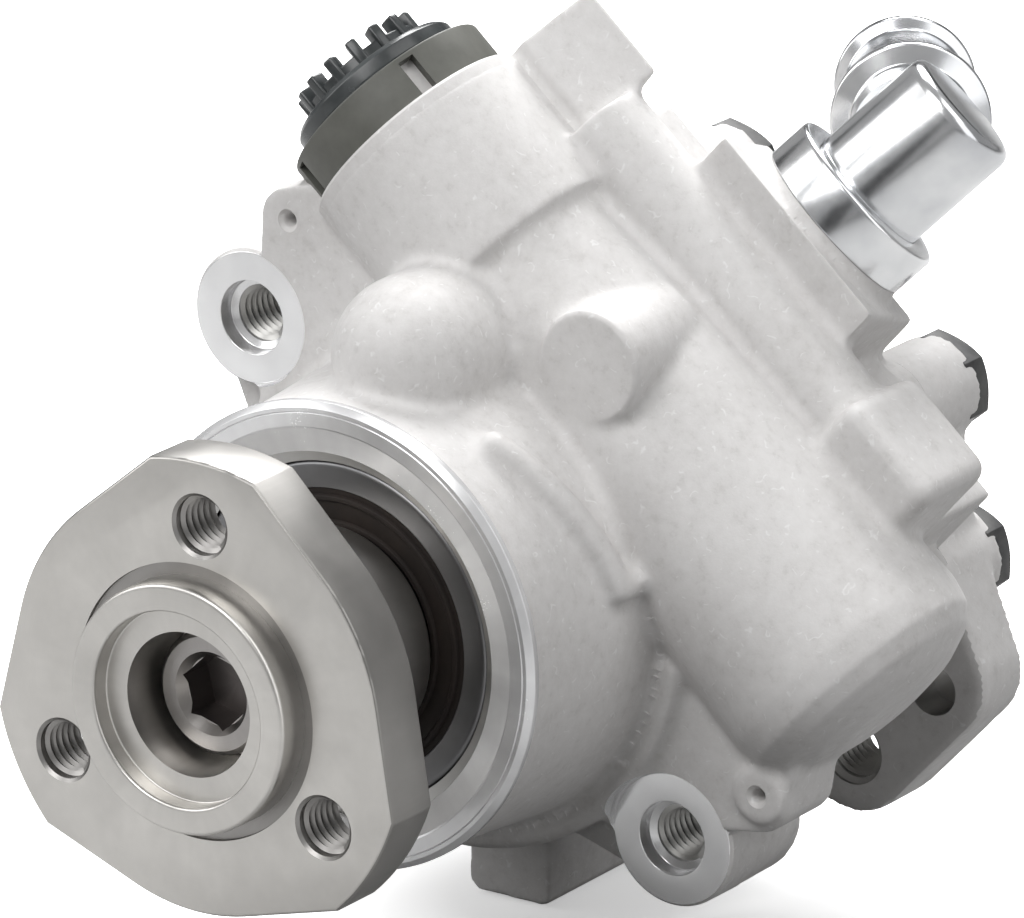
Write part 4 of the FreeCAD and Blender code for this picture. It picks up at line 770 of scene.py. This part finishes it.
for x, z, front in (LEFT_PIN, RIGHT_PIN):
    lathe([(0, 52.0), (1.6, 52.0), (1.6, front + 0.05, 0.2), (1.1, front + 0.5, 0.2), (0.85, front + 1.2),
           (0.85, 63.0), (0, 63.0)], Matrix.Translation((x, 0, z)), 32, into=pins)
pin_cut = workpiece("PinCut", pins, cast_alloy)
inlet_cut = workpiece("InletCut", lathe([
    (0, -14.0), (8.6, -14.0), (8.6, 0.0), (30, 0.0), (30, 6.0), (0, 6.0)], ON_SEAT, 48), bore_alloy_painted_shade)
cut(housing, [nose_cut, bore_cut, back_cut, ear_cut, pin_cut, inlet_cut])
nose = workpiece("NoseRing", lathe([
    (25.1, 30.75, 0.1), (28.5, 29.95, 0.1), (28.75, 29.75, 0.1), (30.5, 29.75), (30.62, 29.87),
    (30.74, 29.75), (31.25, 29.75, 0.15), (32.08, 30.55, 0.15), (32.08, 31.5, 0.2), (31.2, 31.9),
    (25.1, 32.0)], steps=192), machined_alloy)
rings = bmesh.new()
for side in (-1, 1):
    lathe([(5.15, 59.8, 0.15), (9.1, 59.8, 0.2), (9.55, 60.3, 0.3), (9.62, 66.5), (5.15, 66.0)],
          Matrix.Translation((side * EAR_REACH, 0, 0)), 96, into=rings)
rim = along_valve([
    (COLLAR_RADIUS, PORT_FACE), (16.3, PORT_FACE, 0.15), (PORT_RADIUS, -47.7, 0.15), (PORT_RADIUS, -44.0),
    (16.2, -41.5), (COLLAR_RADIUS, -41.5)], steps=128)
ear_rings = workpiece("EarRings", rings, ear_alloy, cast_alloy)
for face in ear_rings.data.polygons:
    face.material_index = 1 if math.hypot(abs(face.center.x) - EAR_REACH, face.center.z) > 9.2 else 0
joined(housing, nose, ear_rings, workpiece("PortRim", rim, cast_alloy))
set_down(housing, "housing", "cast_aluminium", "pump_housing")
ear_threads = thread_holes("pump_housing_threads", [(-EAR_REACH, 62.3, 0.0), (EAR_REACH, 62.3, 0.0)], 14.5,
                           thread_alloy)
set_down(ear_threads, "housing", "cast_aluminium", sharp=50)

# Cartridge: the pressure plates, the cam ring, the rotor and the vanes are ground steel, and the dowels that
# line them up are bearing steel. All of it sits unseen inside the housing.
vanes = [f"vane_{number:02d}" for number in range(1, 11)]
carried_over(neck_steel, "front_pressure_plate", "rear_pressure_plate", "cam_ring", "rotor", *vanes)
carried_over(bearing_steel, "dowel_pins")

# Rear cover: a second casting in the same alloy, bolted on with five dark hexagon screws, with one more
# tapped ear at its side and a plate that carries a blind pocket beside it.
COVER_FACE, EAR_PLATE_FRONT, EAR_PLATE_BACK, COVER_RADIUS = 115.0, 103.2, 113.6, 37.6
rear_ear, rear_tab = (46.6, 0.0, 8.7), (47.0, 17.5, 8.7)
rear = lathe([(0, 101.0), (COVER_RADIUS, 101.0), (COVER_RADIUS, EAR_PLATE_BACK), (36.2, COVER_FACE),
              (16.5, COVER_FACE), (12.5, 120.0), (0, 120.0)])
for x, z in bolt_places:
    boss(x, z, BOLT_BOSS, 101.0, 117.0, rear)
corner_place, top_place = bolt_places[0], bolt_places[4]
prism(wrapped((*top_place, 5.2), (*corner_place, 5.2)), 101.0, COVER_FACE, into=rear)
chain = [(14.0, 0.0, 22.5), rear_ear, rear_tab, (*corner_place, BOLT_BOSS)]
for first, second in zip(chain, chain[1:]):
    prism(wrapped(first, second), EAR_PLATE_FRONT, EAR_PLATE_BACK, into=rear)
cover = workpiece("rear_cover_cast", rear, cast_alloy)
worked(cover, [("REMESH", {"mode": "VOXEL", "voxel_size": 0.7}),
               ("SMOOTH", {"factor": 0.5, "iterations": 4})])
seats = bmesh.new()
for x, z in bolt_places:
    boss(x, z, 8.0, COVER_FACE, 125.0, seats)
    boss(x, z, 4.4, 95.0, 130.0, seats)
front_cut = workpiece("FrontCut", slab((-70, 90.0, -70), (COVER_RADIUS, 104.05, 80)), bore_alloy_painted_shade)
ear_hole = lathe([(0, 90.0), (4.7, 90.0), (4.7, 103.7), (4.0, 104.3), (4.0, 125.0), (0, 125.0)],
                 Matrix.Translation((rear_ear[0], 0, 0)), 48)
boss(48.5, 17.0, 3.6, 90.0, 109.0, ear_hole)
boss(0, 0, 8.0, 90.0, 118.0, ear_hole)
cut(cover, [front_cut, workpiece("SeatCut", seats, machined_alloy),
            workpiece("EarHole", ear_hole, bore_alloy_painted_shade)])
set_down(cover, "housing", "cast_aluminium", "rear_cover")
rear_threads = thread_holes("rear_cover_threads", [(rear_ear[0], 104.4, 0.0)], 8.6, thread_alloy)
set_down(rear_threads, "housing", "cast_aluminium", sharp=50)
carried_over(turned_metal("BushBrass", (0.62, 0.50, 0.30), 0.35), "rear_bush")
carried_over(seal_rubber, "cover_o_ring")

# Cover screws: cold-headed steel with a thin dark plating, the crown of each hexagon turned off in a cone.
# One screw is made, and a node tree stands a copy of it at each bolt place.
HEAD_TOP = 120.3
plated = Finish("DarkPlating")
screw_cloud = plated.noise(320.0, 4.0, 0.6)
screw_finish = plated.set(
    Base_Color=plated.clouded(screw_cloud, (0.05, 0.05, 0.052), (0.10, 0.10, 0.098)),
    Metallic=0.6, Roughness=0.46 + screw_cloud * 0.12, Normal=plated.bump(screw_cloud, 0.15, 0.00006))
head = prism([around(7.5, 60 * step + 20) for step in range(6)], COVER_FACE, HEAD_TOP)
screw = workpiece("Screw", head, screw_finish)
crown = workpiece("Crown", lathe([
    (0, 114.0), (9.5, 114.0), (9.5, 117.6), (6.3, HEAD_TOP), (0, HEAD_TOP)], steps=48), screw_finish)
worked(screw, [("BOOLEAN", {"object": crown, "operation": "INTERSECT", "solver": "EXACT"}),
               ("BEVEL", {"width": 0.3, "segments": 2, "limit_method": "ANGLE",
                          "angle_limit": math.radians(40)})])
scrap(crown)
shank = lathe([(0, 91.0), (3.4, 91.0), (4.0, 91.8), (4.0, 115.3), (0, 115.3)], steps=32)
joined(screw, workpiece("Shank", shank, screw_finish))


def screw_tree():
    """A screw on each point."""
    tree, source, sink = copying_tree("ScrewSet", Places="Geometry", Screw="Object", Finish="Material")
    pick, stand = tree.nodes.new("GeometryNodeObjectInfo"), tree.nodes.new("GeometryNodeInstanceOnPoints")
    real, paint = tree.nodes.new("GeometryNodeRealizeInstances"), tree.nodes.new("GeometryNodeSetMaterial")
    return wired(
        tree, (source, "Screw", pick, "Object"), (source, "Places", stand, "Points"),
        (pick, "Geometry", stand, "Instance"), (stand, 0, real, 0), (real, 0, paint, "Geometry"),
        (source, "Finish", paint, "Material"), (paint, 0, sink, 0))


screws = copied("cover_bolts_plated", [(x, 0, z) for x, z in bolt_places], screw_tree(), Screw=screw,
                Finish=screw_finish)
scrap(screw)
set_down(screws, "housing", "bolt_steel", "cover_bolts")

# Suction fitting: drawn steel with a bright zinc plate. A pressed collar holds a round-topped can, and a
# short stub with a bead at each end stands out of the can's back for the hose.
STUB_BORE, STUB_RADIUS, STUB_END, STUB_RISE = 7.1, 8.2, 36.0, 14.5
zinc_finish = Finish("BrightZinc")
zinc_cloud = zinc_finish.noise(70.0, 4.0, 0.55)
drawn = zinc_finish.add("ShaderNodeMapping", None, Vector=zinc_finish.place(), Scale=(1.0, 0.12, 0.6))
scratch = zinc_finish.noise(900.0, 3.0, 0.7, at=drawn)
zinc = zinc_finish.set(
    Base_Color=zinc_finish.clouded(zinc_cloud, (0.50, 0.51, 0.53), (0.74, 0.745, 0.75)),
    Metallic=1.0, Roughness=0.13 + zinc_cloud * 0.07 + scratch * 0.07,
    Normal=zinc_finish.bump(zinc_cloud, 0.12, 0.0004, zinc_finish.bump(scratch, 0.05, 0.00005)))
collar = workpiece("inlet_collar_zinc", lathe([
    (11.2, 0.0, 0.2), (12.4, 0.0, 0.25), (12.4, 6.25, 0.7), (9.02, 6.25, 0.25), (9.02, 4.85, 0.2),
    (11.2, 4.85, 0.4)], ON_SEAT, 128), zinc)
set_down(collar, "housing", "zinc_plate", "inlet_collar")
can = workpiece("inlet_can_zinc", lathe([
    (0, 23.5), (9.0, 23.5, 1.9), (9.0, 0.0, 0.2), (8.58, 0.0), (8.58, -8.0), (7.9, -8.0), (7.9, 22.4, 1.2),
    (0, 22.4)], ON_SEAT, 128), zinc)
set_down(can, "housing", "zinc_plate", "inlet_can")
aim = Vector((-0.457, 1, 0)).normalized()
swing = Vector((0, 1, 0)).rotation_difference(aim).to_matrix().to_4x4()
stub = workpiece("inlet_stub_zinc", lathe([
    (STUB_BORE, 8.0), (STUB_RADIUS, 8.0), (STUB_RADIUS, 13.4, 0.5), (10.9, 14.35, 0.55), (10.9, 15.65, 0.55),
    (STUB_RADIUS, 16.6, 0.5), (STUB_RADIUS, 31.6, 0.5), (9.7, 32.4, 0.5), (9.7, 33.6, 0.5),
    (STUB_RADIUS, 34.4, 0.5), (STUB_RADIUS, STUB_END, 0.3), (STUB_BORE, STUB_END, 0.3)],
    LEAN_BACK @ Matrix.Translation((0, 0, STUB_RISE)) @ swing, 128), zinc)
set_down(stub, "housing", "zinc_plate", "inlet_stub")

# Outlet: the steel union stands in the port, a dark slotted plastic sleeve is clipped round the port's
# collar, and a glossy slate-coloured transport cap with a castellated crown plugs the union.
carried_over(shaft_steel, "outlet_union")
moulded = Finish("OliveSleeve")
sleeve_grain = moulded.noise(900.0, 3.0, 0.6)
sleeve_finish = moulded.set(
    Base_Color=moulded.clouded(moulded.noise(120.0, 4.0, 0.6), (0.082, 0.083, 0.072), (0.125, 0.126, 0.112)),
    Roughness=0.42 + sleeve_grain * 0.12, Normal=moulded.bump(sleeve_grain, 0.2, 0.00006))


def blocks_round_valve(count, first_turn, middle, sides):
    """Like blocks set evenly round the valve bore."""
    shape = bmesh.new()
    for step in range(count):
        turn = Matrix.Rotation(math.radians(first_turn + 360 // count * step), 4, "X")
        block(middle, sides, shape, Matrix.Translation((0, TUBE_BACK, TUBE_RISE)) @ turn)
    return shape


sleeve = workpiece("port_sleeve_moulded", along_valve([
    (COLLAR_RADIUS, COLLAR_FACE), (15.3, COLLAR_FACE, 0.3), (15.3, PORT_FACE, 0.15),
    (COLLAR_RADIUS, PORT_FACE)], steps=128), sleeve_finish)
slots = blocks_round_valve(4, 33.7, (-50.6, 0, 15.3), (6.0, 2.4, 6.0))
cut(sleeve, [workpiece("SleeveSlots", slots, sleeve_finish)])
set_down(sleeve, "housing", "sleeve_plastic", "port_sleeve")

glossy = Finish("SlateCap")
cap_cloud = glossy.noise(160.0, 4.0, 0.6)
cap_finish = glossy.set(
    Base_Color=glossy.clouded(cap_cloud, (0.028, 0.032, 0.033), (0.060, 0.066, 0.068)),
    Roughness=0.16 + cap_cloud * 0.16, Normal=glossy.bump(cap_cloud, 0.12, 0.0002))
cap = workpiece("port_cap_moulded", along_valve([
    (0, -57.0), (7.7, -57.0, 0.4), (7.7, -59.6, 0.3), (9.2, -59.6, 0.3), (9.2, -57.8, 0.3),
    (12.1, -57.6, 0.6), (12.7, -56.9, 0.4), (12.7, -55.2, 0.3), (12.2, COLLAR_FACE, 0.2), (3.9, COLLAR_FACE),
    (3.9, -45.4), (0, -45.4)], steps=128), cap_finish)
teeth = workpiece("CapTeeth", blocks_round_valve(15, 0, (-59.5, 0, 8.45), (4.2, 1.6, 2.3)), cap_finish)
worked(teeth, [("BEVEL", {"width": 0.35, "segments": 3, "limit_method": "ANGLE"})])
joined(cap, teeth)
set_down(cap, "housing", "cap_plastic", "port_cap")

# Flow valve: a ground spool and its coil spring, unseen in the bore across the top.
carried_over(shaft_steel, "valve_spool", "valve_spring")
